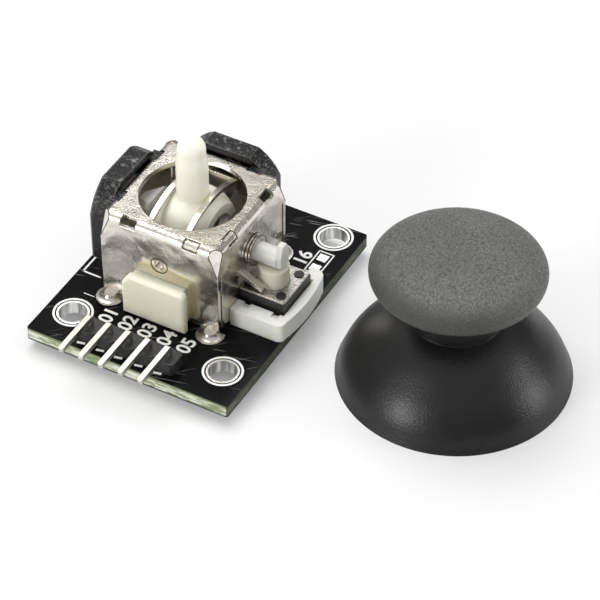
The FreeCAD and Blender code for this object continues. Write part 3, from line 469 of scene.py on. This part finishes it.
def moulding(name, base, other, roughness, grains=6.0, depth=0.004, milky=0.0, scuffs=0.0,
             edge_wear_and_sheen=None, shine=0.5, radius=0.08, tone_and_shade=None, chip_glints=0.0):
    """A moulded plastic: two tones and a fine skin. A colour shift along an axis, for a warmer tone and
    for painted shade, is (axis, none, full, colour).
    """
    material, tree, shader = node_material(name)
    upward = facing_up(tree, *upper_faces) if chip_glints else None
    soft, fine = grained(tree, shader, grains, depth, radius=radius, where=upward)
    tone = place_group(tree, drift, Base=(*base, 1), Other=(*other, 1), Patches_per_mm=0.35, Amount=0.8)
    colour = tone.outputs["Color"]
    if tone_and_shade:
        # The shift is a real tone on the front block and painted shade on the bell.
        axis, none, full, tone_and_shade_colour = tone_and_shade
        colour = mixed(tree, along(tree, axis, none, full), colour, (*tone_and_shade_colour, 1))
    # The edge colour is real wear on most mouldings and a painted highlight along the pots' bends.
    if edge_wear_and_sheen:
        colour = mixed(tree, soft.outputs["Edge wear and sheen"], colour, (*edge_wear_and_sheen, 1))
    if scuffs:
        scuff = place_group(tree, marks, Lines_per_mm=0.6, Amount=scuffs)
        colour = mixed(tree, scuff.outputs["Mask"], colour, scuff_and_glint_tone)
    gloss = blended(tree, tone.outputs["Cloud"], roughness - 0.04, roughness + 0.06)
    if chip_glints:
        lit_tips = fine.outputs["Lit tips"]
        colour, gloss = chipped_and_glinting(tree, colour, gloss, lit_tips, tone.outputs["Cloud"], upward, chip_glints)
    tree.links.new(colour, shader.inputs["Base Color"])
    tree.links.new(gloss, shader.inputs["Roughness"])
    shader.inputs["Specular IOR Level"].default_value = shine
    if milky:
        shader.inputs["Subsurface Weight"].default_value = milky
        shader.inputs["Subsurface Radius"].default_value = nylon_reach
        shader.inputs["Subsurface Scale"].default_value = nylon_depth
    return material


print("moulding recipe is ready")

# %% Pale plastics
# The bell's foot is painted darker as painted shade. The front block is yellower of its own, and the
# throat beside it gets the same warmth as painted bounce light in shade.
bell_shade = ("Z", 14.2, 11.4, (0.74, 0.72, 0.60))
front_block_tone_and_bounce = ("Y", -7.9, -8.1, (0.86, 0.84, 0.68))
cream = moulding("cream nylon", (0.985, 0.97, 0.84), (0.96, 0.94, 0.78), 0.33, milky=0.35, tone_and_shade=bell_shade)
milk = moulding("milk-white nylon", (0.87, 0.87, 0.81), (0.80, 0.80, 0.72), 0.32, milky=0.5,
                tone_and_shade=front_block_tone_and_bounce, radius=0.14)
frost = moulding("frosted nylon", (0.70, 0.70, 0.67), (0.62, 0.62, 0.59), 0.34, milky=0.6)
print("three pale plastics")

# %% Dark plastics
# This dark colour draws fine gaps, and painted shade in the collar's creases.
gap_and_shade_dark = moulding("dark gap and crease shade", (0.020, 0.018, 0.015), (0.035, 0.031, 0.026), 0.5)
black = moulding("black moulding", (0.008, 0.008, 0.009), (0.016, 0.016, 0.017), 0.30, grains=3.0,
                 depth=0.045, scuffs=0.3, edge_wear_and_sheen=(0.05, 0.05, 0.05), shine=0.4)
pin_black = moulding("header moulding", (0.020, 0.020, 0.020), (0.034, 0.034, 0.034), 0.42, grains=2.4,
                     depth=0.06, scuffs=0.3, edge_wear_and_sheen=(0.07, 0.07, 0.07), shine=0.4)
# The pots' pale edge colour is a painted highlight along their bends.
pot_black = moulding("chipped black with painted glints", (0.007, 0.007, 0.008), (0.013, 0.013, 0.014), 0.28, grains=2.9,
                     depth=0.12, scuffs=0.2, edge_wear_and_sheen=(0.30, 0.30, 0.29), shine=0.26, radius=0.28,
                     chip_glints=0.9)
laminate = moulding("resistive laminate", (0.030, 0.018, 0.012), (0.02, 0.012, 0.008), 0.6, grains=3.0,
                    depth=0.01)
print("five dark plastics")

# %% [markdown]
# ### Plated metals
# The can is folded steel with a dull nickel plate. Its walls mirror their surroundings softly, in
# gentle waves and with cloudy patches, and a painted highlight runs along its folds. Its top has a
# fine pebbled skin, because the sheet was shot-blasted before it was folded; its pits get painted
# shade, and the top is painted darker towards the right as painted shade.
# The upward side is found from the surface's normal, which works on every face without any painting
# by hand. The other metals are the same recipe with fewer of its options.

# %% Recipe for a plated metal
level_faces = (0.75, 0.97)
waves_per_mm = 0.32
shaded_from_to = (-4.0, 6.0)
pit_shade = 0.3
pebble_gloss = 0.06


def plated(name, base, other, roughness, grains, depth, top_depth=None, smear=0.0, radius=0.07,
           edge_highlight=None, wave=0.0, shaded_side=None):
    """A plated metal: a soft, cloudy mirror, and a deeper grain on top where top_depth is given."""
    material, tree, shader = node_material(name)
    shader.inputs["Metallic"].default_value = 1.0
    soft = place_group(tree, edges, Radius_in_mm=radius, Wear=0.8)
    fine = place_group(tree, grain, Grains_per_mm=grains, Roundness=0.55)
    tone = place_group(tree, drift, Base=(*base, 1), Other=(*other, 1), Patches_per_mm=0.28, Amount=0.75)
    colour = tone.outputs["Color"]
    height = fine.outputs["Height"]
    shine = blended(tree, tone.outputs["Cloud"], roughness - 0.04, roughness + 0.10)
    normal = soft.outputs["Normal"]
    if wave:
        swell = noise(tree, in_millimetres(tree), waves_per_mm, 2.0)
        rolling = [(swell, "Height"), (normal, "Normal"), (wave * mm, "Distance")]
        normal = add(tree, "Bump", rolling).outputs[0]
    if top_depth:
        upward = facing_up(tree, *level_faces)
        height = times(tree, height, blended(tree, upward, 1.0, top_depth / depth))
        colour = mixed(tree, blended(tree, upward, 0.0, 0.9), colour, (*other, 1))
        # Painted shade: the top gets darker towards the right.
        if shaded_side:
            shaded_right = times(tree, along(tree, "X", *shaded_from_to), upward)
            colour = mixed(tree, shaded_right, colour, (*shaded_side, 1))
        # Painted shade in the pits of the grain.
        shaded_pits = times(tree, fine.outputs["Shaded pits"], upward)
        colour = mixed(tree, shaded_pits, colour, tuple(pit_shade * value for value in base) + (1,))
        shine = plus(tree, shine, blended(tree, upward, 0.0, pebble_gloss))
    if smear:
        lines = place_group(tree, marks, Lines_per_mm=0.6, Amount=smear)
        shine = plus(tree, shine, lines.outputs["Mask"])
    # Painted highlight along the edges.
    if edge_highlight:
        colour = mixed(tree, soft.outputs["Edge wear and sheen"], colour, (*edge_highlight, 1))
    bumped(tree, shader, height, depth, normal)
    tree.links.new(colour, shader.inputs["Base Color"])
    tree.links.new(shine, shader.inputs["Roughness"])
    return material


print("metal recipe is ready")

# %% Metals
nickel = plated("dull nickel", (0.90, 0.86, 0.785), (0.62, 0.585, 0.52), 0.19, 5.0, 0.006, top_depth=0.06,
                smear=0.1, radius=0.12, edge_highlight=(0.95, 0.92, 0.86), wave=0.18,
                shaded_side=(0.40, 0.37, 0.31))
cover = plated("pressed cover", (0.66, 0.64, 0.60), (0.52, 0.50, 0.46), 0.27, 3.5, 0.008, top_depth=0.03)
# The strap's bright edges are a painted highlight.
strap = plated("bright strap", (0.88, 0.84, 0.76), (0.72, 0.67, 0.58), 0.14, 3.0, 0.006,
               edge_highlight=(0.96, 0.94, 0.9))
gold = plated("flash-gold pin", (0.60, 0.585, 0.53), (0.46, 0.44, 0.385), 0.30, 4.0, 0.012)
tin = plated("bright solder", (0.68, 0.66, 0.62), (0.36, 0.34, 0.30), 0.22, 0.8, 0.05)
pad_tin = plated("tinned pad", (0.86, 0.86, 0.84), (0.70, 0.69, 0.67), 0.24, 3.0, 0.006)
steel = plated("drawn steel", (0.66, 0.65, 0.62), (0.52, 0.50, 0.47), 0.22, 4.0, 0.004)
brass = plated("contact brass", (0.80, 0.62, 0.30), (0.66, 0.48, 0.20), 0.26, 3.0, 0.005)
print("eight metals")

# %% [markdown]
# ### Board
# The board is glass laminate under a glossy black coating. From above only the coating shows, with
# a few hair-thin scratches. The front and rear sides show the sawn laminate: dull, greenish, with
# pale threads along it and a darker skin above and below. The left and right sides were milled and
# are nearly black. One material can be all of this, because these sides differ in their normals.

# %% Board coating
board, tree, shader = node_material("coated board")
grained(tree, shader, 1.6, 0.006, radius=0.08)
facing = (0.4, 0.6)
scratch_tone = (0.34, 0.34, 0.33, 1)
side = add(tree, "NewGeometry")
parts = add(tree, "SeparateXYZ", [(side.outputs["Normal"], 0)])
level = add(tree, "Math", [(parts.outputs["Z"], 0)], operation="ABSOLUTE").outputs[0]
face = share_between(tree, level, *facing)
coat = place_group(tree, drift, Base=(0.003, 0.003, 0.0034, 1), Other=(0.007, 0.007, 0.0074, 1),
                   Patches_per_mm=0.25, Amount=1.0)
scratch = place_group(tree, marks, Lines_per_mm=0.32, Amount=0.35)
coated = mixed(tree, scratch.outputs["Mask"], coat.outputs["Color"], scratch_tone)
print("coating is ready")

# %% Board sides
thread_stretch = (0.6, 0.6, 3.5)
threads_at = (0.42, 0.58)
resin = (0.26, 0.31, 0.17, 1)
pale_thread = (0.74, 0.76, 0.64, 1)
upper_skin = (0.19, 0.23, 0.12, 1)
lower_skin = (0.05, 0.06, 0.04, 1)
milled_skin = (0.025, 0.03, 0.022, 1)
weave = noise(tree, in_millimetres(tree, thread_stretch), 1.1, 5.0)
glass_side = mixed(tree, share_between(tree, weave, *threads_at), resin, pale_thread)
glass_side = mixed(tree, along(tree, "Z", 1.15, 1.45), glass_side, upper_skin)
glass_side = mixed(tree, along(tree, "Z", 0.3, 0.12), glass_side, lower_skin)
sideways = add(tree, "Math", [(parts.outputs["X"], 0)], operation="ABSOLUTE").outputs[0]
milled = blended(tree, share_between(tree, sideways, *facing), 0.0, 0.8)
glass_side = mixed(tree, milled, glass_side, milled_skin)
tree.links.new(mixed(tree, face, glass_side, coated), shader.inputs["Base Color"])
tree.links.new(blended(tree, face, 0.62, 0.17), shader.inputs["Roughness"])
shader.inputs["Specular IOR Level"].default_value = 0.06
print("board is ready")

# %% [markdown]
# The holes are plated through. The wall of a drilled hole shows upright light and dark streaks of
# painted reflection, so a noise is stretched along the hole and shifts colour and gloss together.

# %% Plated barrels
plating, tree, shader = node_material("plated barrel")
grained(tree, shader, 2.0, 0.03, roundness=0.3)
streak_stretch = (1.6, 1.6, 0.12)
lit_streak_tin = (0.95, 0.95, 0.94, 1)
dark_streak_tin = (0.34, 0.34, 0.33, 1)
# Light and dark streaks are painted reflections on the barrel's wall.
reflection_streaks = noise(tree, in_millimetres(tree, streak_stretch), 0.9, 2.0)
contrast = share_between(tree, reflection_streaks, 0.4, 0.6)
streaked = mixed(tree, contrast, lit_streak_tin, dark_streak_tin)
tree.links.new(streaked, shader.inputs["Base Color"])
tree.links.new(blended(tree, contrast, 0.18, 0.35), shader.inputs["Roughness"])
shader.inputs["Metallic"].default_value = 1.0
print("barrels are ready")

# %% [markdown]
# ### Thumb cap
# The cap's top is a rubbery skin with a dense fine pebble, dark grey and without shine, which keeps
# the thumb from slipping. Its hollows get painted shade and its tips painted highlights, so colour
# follows the same grain as the relief.

# %% Pebbled rubber
rubber, tree, shader = node_material("pebbled rubber")
fine = grained(tree, shader, 3.6, 0.26, radius=0.3)[1]
tone = place_group(tree, drift, Base=(0.172, 0.171, 0.163, 1), Other=(0.136, 0.135, 0.128, 1),
                   Patches_per_mm=0.16, Amount=0.9)
hollow_shade = (0.034, 0.034, 0.032, 1)
tip_highlight_tone = (0.32, 0.32, 0.31, 1)
rim_shade = (0.050, 0.052, 0.046, 1)
rim_from_to = (7.4, 9.2)
front_from_to = (1.0, -7.0)
# Painted shade in the hollows, then painted highlights on the pebble tips.
shaded_pits = times(tree, fine.outputs["Shaded pits"], 0.75)
colour = mixed(tree, shaded_pits, tone.outputs["Color"], hollow_shade)
lit_tip_share = times(tree, fine.outputs["Lit tips"], 0.6)
colour = mixed(tree, lit_tip_share, colour, tip_highlight_tone)
print("pebbles are ready")

# %% [markdown]
# Painted shade darkens the front of the rim, found by place: how far a point lies from the cap's
# upright axis, and how far to the front. The axis is read off the CAD piece, so the rim stays right if
# the cap is moved.

# %% Painted shade on the cap's rim
cap_low, cap_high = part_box("cap_grip")
cap_x = (cap_low.x + cap_high.x) / 2 / mm
cap_y = (cap_low.y + cap_high.y) / 2 / mm
cap_axis = (cap_x, cap_y, 0.0)
from_axis = add(tree, "VectorMath", [(in_millimetres(tree), 0), (cap_axis, 1)], operation="SUBTRACT")
level_only = (1.0, 1.0, 0.0)
flat = add(tree, "VectorMath", [(from_axis.outputs[0], 0), (level_only, 1)], operation="MULTIPLY")
away = add(tree, "VectorMath", [(flat.outputs[0], 0)], operation="LENGTH").outputs["Value"]
shaded_rim = share_between(tree, away, *rim_from_to)
parts = add(tree, "SeparateXYZ", [(flat.outputs[0], 0)])
front = share_between(tree, parts.outputs["Y"], *front_from_to)
# The front of the rim is painted darker, as painted shade.
colour = mixed(tree, times(tree, shaded_rim, front), colour, rim_shade)
tree.links.new(colour, shader.inputs["Base Color"])
tree.links.new(blended(tree, tone.outputs["Cloud"], 0.42, 0.50), shader.inputs["Roughness"])
shader.inputs["Specular IOR Level"].default_value = 0.5
print("rubber is ready")

# %% [markdown]
# The bell under it is smooth satin plastic in a darker grey, with broad soft highlights. It has a
# grain too, but a shallow one, and differs from the top in grain far more than in colour.

# %% Satin bell
satin, tree, shader = node_material("satin bell")
grained(tree, shader, 4.0, 0.03, radius=0.2)
tone = place_group(tree, drift, Base=(0.006, 0.006, 0.0062, 1), Other=(0.010, 0.010, 0.0102, 1),
                   Patches_per_mm=0.12, Amount=1.0)
tree.links.new(tone.outputs["Color"], shader.inputs["Base Color"])
tree.links.new(blended(tree, tone.outputs["Cloud"], 0.34, 0.42), shader.inputs["Roughness"])
shader.inputs["Specular IOR Level"].default_value = 0.4
print("cap finishes are ready")

# %% [markdown]
# ## Dress the CAD pieces
# Every piece that came with the frame gets its finish here, by name. Curved faces also get smooth
# shading with sharp edges kept, which changes how light reads them and not where they are.

# %% Put finishes on
finish_of = {
    "circuit_board": board, "header_block": pin_black, "header_pins": gold, "frame_solder": tin,
    "joint_solder": tin, "cap_grip": rubber, "cap_skirt": satin, "metal_frame": nickel, "base_plate": milk,
    "stick": cream, "stick_pin": steel, "yoke": frost, "slotted_arch": strap, "spring_seat": black,
    "return_spring": steel, "switch_body": black, "switch_cover": cover, "switch_dome": steel,
    "switch_button": cream, "switch_terminals": tin, "pot_x_rotor": frost, "pot_y_rotor": frost,
    "pot_x_housing": pot_black, "pot_y_housing": pot_black, "pot_x_track": laminate,
    "pot_y_track": laminate, "pot_x_terminals": tin, "pot_y_terminals": tin, "pot_x_wiper": brass,
    "pot_y_wiper": brass,
}
sharp_from = math.radians(28)
for name, node in nodes.items():
    node.data.materials.clear()
    node.data.materials.append(finish_of[name])
    node.data.shade_smooth()
    node.data.set_sharp_from_angle(angle=sharp_from)
print(len(finish_of), "finishes placed on", len(nodes), "nodes")

# %% [markdown]
# ## Print and plating on the board
# White print is a layer of ink a few hundredths of a millimetre thick, and the pads are plated
# copper about as thin. Both are drawn as flat shapes with a little thickness that stand on the
# board's coating: rings round the holes, ticks by the header, a footprint frame and plain numbers.

# %% Ink and plating finishes
ink, tree, shader = node_material("white ink")
grained(tree, shader, 7.0, 0.006)
tone = place_group(tree, drift, Base=(0.95, 0.95, 0.93, 1), Other=(0.84, 0.84, 0.82, 1),
                   Patches_per_mm=1.2, Amount=0.8)
tree.links.new(tone.outputs["Color"], shader.inputs["Base Color"])
tree.links.new(blended(tree, tone.outputs["Cloud"], 0.45, 0.6), shader.inputs["Roughness"])
board_low, board_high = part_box("circuit_board")
top = board_high.z
ink_height = 0.02 * mm
ink_root = top - 0.004 * mm
ink_top = top + ink_height
print("board top at", round(top / mm, 2), "mm")

# %% A helper for thin shapes


def thin_piece(name, outlines, low, high, finish):
    """One piece made of flat shapes. An outline is a list of (x, y) in mm, or two for a ring."""
    built = bmesh.new()
    for outline in outlines:
        loops = outline if isinstance(outline, tuple) else (outline,)
        levels = []
        for loop in loops:
            levels.append([[built.verts.new((x * mm, y * mm, z)) for x, y in loop] for z in (low, high)])
        for lower, upper in levels:
            for k in range(len(lower)):
                j = (k + 1) % len(lower)
                built.faces.new((lower[k], lower[j], upper[j], upper[k]))
        if len(levels) == 1:
            built.faces.new(levels[0][1])
            built.faces.new(levels[0][0][::-1])
        else:
            for level in (0, 1):
                a, b = levels[0][level], levels[1][level]
                for k in range(len(a)):
                    j = (k + 1) % len(a)
                    built.faces.new((a[k], a[j], b[j], b[k]))
    bmesh.ops.recalc_face_normals(built, faces=built.faces)
    mesh = bpy.data.meshes.new(name)
    built.to_mesh(mesh)
    built.free()
    mesh.materials.append(finish)
    piece = bpy.data.objects.new(name, mesh)
    bpy.context.scene.collection.objects.link(piece)
    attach(piece, "root")
    return piece


def circle(x, y, radius, steps=64):
    """Points round a circle, in mm."""
    turns = [2 * math.pi * k / steps for k in range(steps)]
    return [(x + radius * math.cos(turn), y + radius * math.sin(turn)) for turn in turns]


def strip(ax, ay, bx, by, width):
    """A straight strip between two points, in mm."""
    run = Vector((bx - ax, by - ay)).normalized() * width / 2
    start = [(ax - run.y, ay + run.x), (ax + run.y, ay - run.x)]
    return start + [(bx + run.y, by - run.x), (bx - run.y, by + run.x)]


print("thin shapes can be drawn")

# %% [markdown]
# The four mounting holes have a plated barrel, a pad on both faces and a printed ring with a gap
# of bare coating between ring and pad.

# %% Hole rings
mounts = {mount["name"]: mount for mount in frame["record"]["mounts"]}
holes = mounts["board_holes"]["dims"]
hole_radius = holes["hole_r_mm"]
half_x = holes["spacing_x_mm"] / 2
half_y = holes["spacing_y_mm"] / 2
hole_places = [(sx * half_x, sy * half_y) for sx in (-1, 1) for sy in (-1, 1)]
pad_radius = 1.9
ring_inner = 2.06
ring_outer = 2.34
barrel = hole_radius - 0.02
barrel_back = hole_radius + 0.005
bottom = board_low.z
rings = [(circle(x, y, ring_outer), circle(x, y, ring_inner)) for x, y in hole_places]
hole_pads = [(circle(x, y, pad_radius), circle(x, y, barrel)) for x, y in hole_places]
barrels = [(circle(x, y, barrel_back), circle(x, y, barrel)) for x, y in hole_places]
thin_piece("hole_print", rings, ink_root, ink_top, ink)
thin_piece("hole_pads", hole_pads, ink_root, ink_top, pad_tin)
thin_piece("hole_pads_under", hole_pads, bottom - ink_height, bottom + 0.004 * mm, pad_tin)
thin_piece("hole_barrels", barrels, bottom, top, plating)
print(len(hole_places), "holes dressed")

# %% [markdown]
# The remaining print was placed from the photograph: a corner mark at the left edge, a fine line
# next to it, a tick by each header pin, and a frame round the two pads of a part that isn't fitted.

# %% Lines of print


def from_corner(x, y):
    """A place measured from the board's front left corner, in mm."""
    return board_low.x / mm + x, board_low.y / mm + y


def marks_between(pairs, width):
    """Strips between pairs of places measured from the corner."""
    return [strip(*from_corner(*a), *from_corner(*b), width) for a, b in pairs]


corner_mark = marks_between([((0.55, 11.0), (0.55, 14.1)), ((0.45, 11.1), (2.9, 11.1))], 0.22)
fine_line = marks_between([((2.6, 8.0), (4.0, 8.0))], 0.1)
tick_places = (6.42, 8.91, 11.29, 13.89, 16.34)
ticks = marks_between([((x - 0.2, 0.8), (x + 0.75, 1.0)) for x in tick_places], 0.34)
footprint = marks_between([((22.4, 27.3), (24.42, 27.3)), ((24.34, 27.3), (24.34, 23.6)),
                           ((22.48, 27.3), (22.48, 23.6)), ((22.4, 23.6), (24.42, 23.6))], 0.18)
printed = corner_mark + fine_line + ticks + footprint
thin_piece("board_print", printed, ink_root, ink_top, ink)
pads = []
for y0, y1 in ((25.75, 26.95), (23.95, 25.05)):
    ax, ay = from_corner(22.8, y0)
    bx, by = from_corner(24.0, y1)
    pads.append([(ax, ay), (bx, ay), (bx, by), (ax, by)])
thin_piece("spare_pads", pads, ink_root, ink_top, pad_tin)
print("print and pads drawn")

# %% [markdown]
# Behind each header pin stands a plain number, from one to five, and another one beside the spare
# pads. Text objects give the shapes, and they are turned into one mesh so that they export like
# any other piece.

# %% Pin numbers
header_low, header_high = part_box("header_block")
pitch = 2.54
first = (header_low.x + header_high.x) / 2 / mm - 2 * pitch
label_y = header_high.y / mm + 2.5
labels = [("0" + str(k + 1), first + k * pitch + 0.1, label_y) for k in range(5)]
labels.append(("16", *from_corner(21.4, 25.3)))
figure_size = 2.35 * mm
figure_boldness = 0.06 * mm
joined = bmesh.new()
for words, x, y in labels:
    curve = bpy.data.curves.new("number", "FONT")
    curve.body = words
    curve.size = figure_size
    curve.offset = figure_boldness
    curve.extrude = ink_height / 2
    curve.align_x = "CENTER"
    curve.align_y = "CENTER"
    text = bpy.data.objects.new("number", curve)
    text.location = (x * mm, y * mm, top + ink_height / 2)
    text.rotation_euler.z = math.radians(90)
    bpy.context.scene.collection.objects.link(text)
    bpy.context.view_layer.update()
    mesh = bpy.data.meshes.new_from_object(text)
    mesh.transform(text.matrix_world)
    joined.from_mesh(mesh)
    bpy.data.objects.remove(text)
number_mesh = bpy.data.meshes.new("pin_numbers")
joined.to_mesh(number_mesh)
joined.free()
number_mesh.materials.append(ink)
pin_numbers = bpy.data.objects.new("pin_numbers", number_mesh)
bpy.context.scene.collection.objects.link(pin_numbers)
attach(pin_numbers, "root")
print("numbers have", len(number_mesh.polygons), "faces")

# %% [markdown]
# ## Fine gaps in the can
# The can's corners are closed by small three-sided flaps, and a fine dark gap runs round each flap
# where two sheets meet. Another gap runs round the arch's pivot in the front wall. Such a gap is
# thinner than the sheet, so it is drawn as a dark line. The collar at the right gets dark rings the
# same way: painted shade in its creases, and a gap at its rim. The flaps' borders are read off the
# solid: they are the edges that only one face of the flap uses.

# %% Borders of a set of faces


def border_loops(mesh, picked):
    """Closed loops of points round a set of faces."""
    used = {}
    for index in picked:
        for key in mesh.polygons[index].edge_keys:
            used[key] = used.get(key, 0) + 1
    follow = {}
    for (a, b), count in used.items():
        if count == 1:
            follow.setdefault(a, []).append(b)
            follow.setdefault(b, []).append(a)
    loops = []
    while follow:
        point = next(iter(follow))
        loop = []
        while point in follow:
            loop.append(point)
            ways = [other for other in follow.pop(point) if other in follow]
            point = ways[0] if ways else None
        loops.append([mesh.vertices[k].co.copy() for k in loop])
    return loops


print("borders can be found")

# %% Lines along loops
dark_line_radius = 0.055 * mm


def gap_and_shade_lines(name, loops, radius):
    """Thin round lines along closed loops of points, as one piece."""
    curve = bpy.data.curves.new(name, "CURVE")
    curve.dimensions = "3D"
    curve.bevel_depth = radius
    curve.bevel_resolution = 1
    for loop in loops:
        spline = curve.splines.new("POLY")
        spline.points.add(len(loop) - 1)
        for point, place in zip(spline.points, loop):
            point.co = (*place, 1.0)
        spline.use_cyclic_u = True
    drawn = bpy.data.objects.new(name, curve)
    bpy.context.scene.collection.objects.link(drawn)
    bpy.context.view_layer.update()
    mesh = bpy.data.meshes.new_from_object(drawn)
    bpy.data.objects.remove(drawn)
    mesh.materials.append(gap_and_shade_dark)
    piece = bpy.data.objects.new(name, mesh)
    bpy.context.scene.collection.objects.link(piece)
    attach(piece, "root")
    return piece


print("lines are", round(2 * dark_line_radius / mm, 2), "mm thick")

# %% [markdown]
# The four flaps lean out over the four corners, so one direction, mirrored to each corner, picks the
# faces whose normals point along it.

# %% Gaps round the flaps
can = nodes["metal_frame"]
lean = Vector((0.68, 0.68, 0.28)).normalized()
nearly_along = 0.999
loops = []
for sx in (-1, 1):
    for sy in (-1, 1):
        outward = Vector((sx * lean.x, sy * lean.y, lean.z))
        picked = [face.index for face in can.data.polygons if face.normal.dot(outward) > nearly_along]
        corner_loops = border_loops(can.data, picked)
        corner_loops = [[can.matrix_world @ point for point in loop] for loop in corner_loops]
        loops += [loop for loop in corner_loops if len(loop) > 2]
        print("corner", sx, sy, len(picked), "faces", [len(loop) for loop in corner_loops], "points")
gap_and_shade_lines("flap_gaps", loops, dark_line_radius)
print(len(loops), "flap loops")

# %% [markdown]
# The pivot in the front wall and the collar in the right wall lie on the two tilt axes, and both axes
# pass through the centre of the gimbal. The can is square, so its right wall is as far from that
# centre as its front wall. The collar is turned with a groove. Its rings at the root and in the groove
# are painted shade in these creases, and the one at its outer rim marks the fine gap there.

# %% The pivot's gap and the collar's painted shade
joints = {joint["name"]: joint for joint in frame["record"]["behaviour"]["joints"]}
centre = Vector(joints["arch_tilt"]["pos_m"])
can_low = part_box("metal_frame")[0]
pivot_hole = 1.05
pivot_ring = circle(0, 0, pivot_hole)
pivot_ring = [Vector((centre.x + x * mm, can_low.y, centre.z + z * mm)) for x, z in pivot_ring]
gap_and_shade_lines("pivot_gap", [pivot_ring], dark_line_radius)

collar_root = centre.x + (centre.y - can_low.y)
collar_shade_rings = []
# Painted shade at the root and in the groove, and a gap at the outer rim.
for step, radius in ((0.02, 1.83), (0.38, 1.66), (0.74, 1.81)):
    x = collar_root + step * mm
    ring = circle(0, 0, radius)
    collar_shade_rings.append([Vector((x, centre.y + y * mm, centre.z + z * mm)) for y, z in ring])
gap_and_shade_lines("collar_gap_and_shade_rings", collar_shade_rings, dark_line_radius)
print(len(collar_shade_rings), "collar rings")
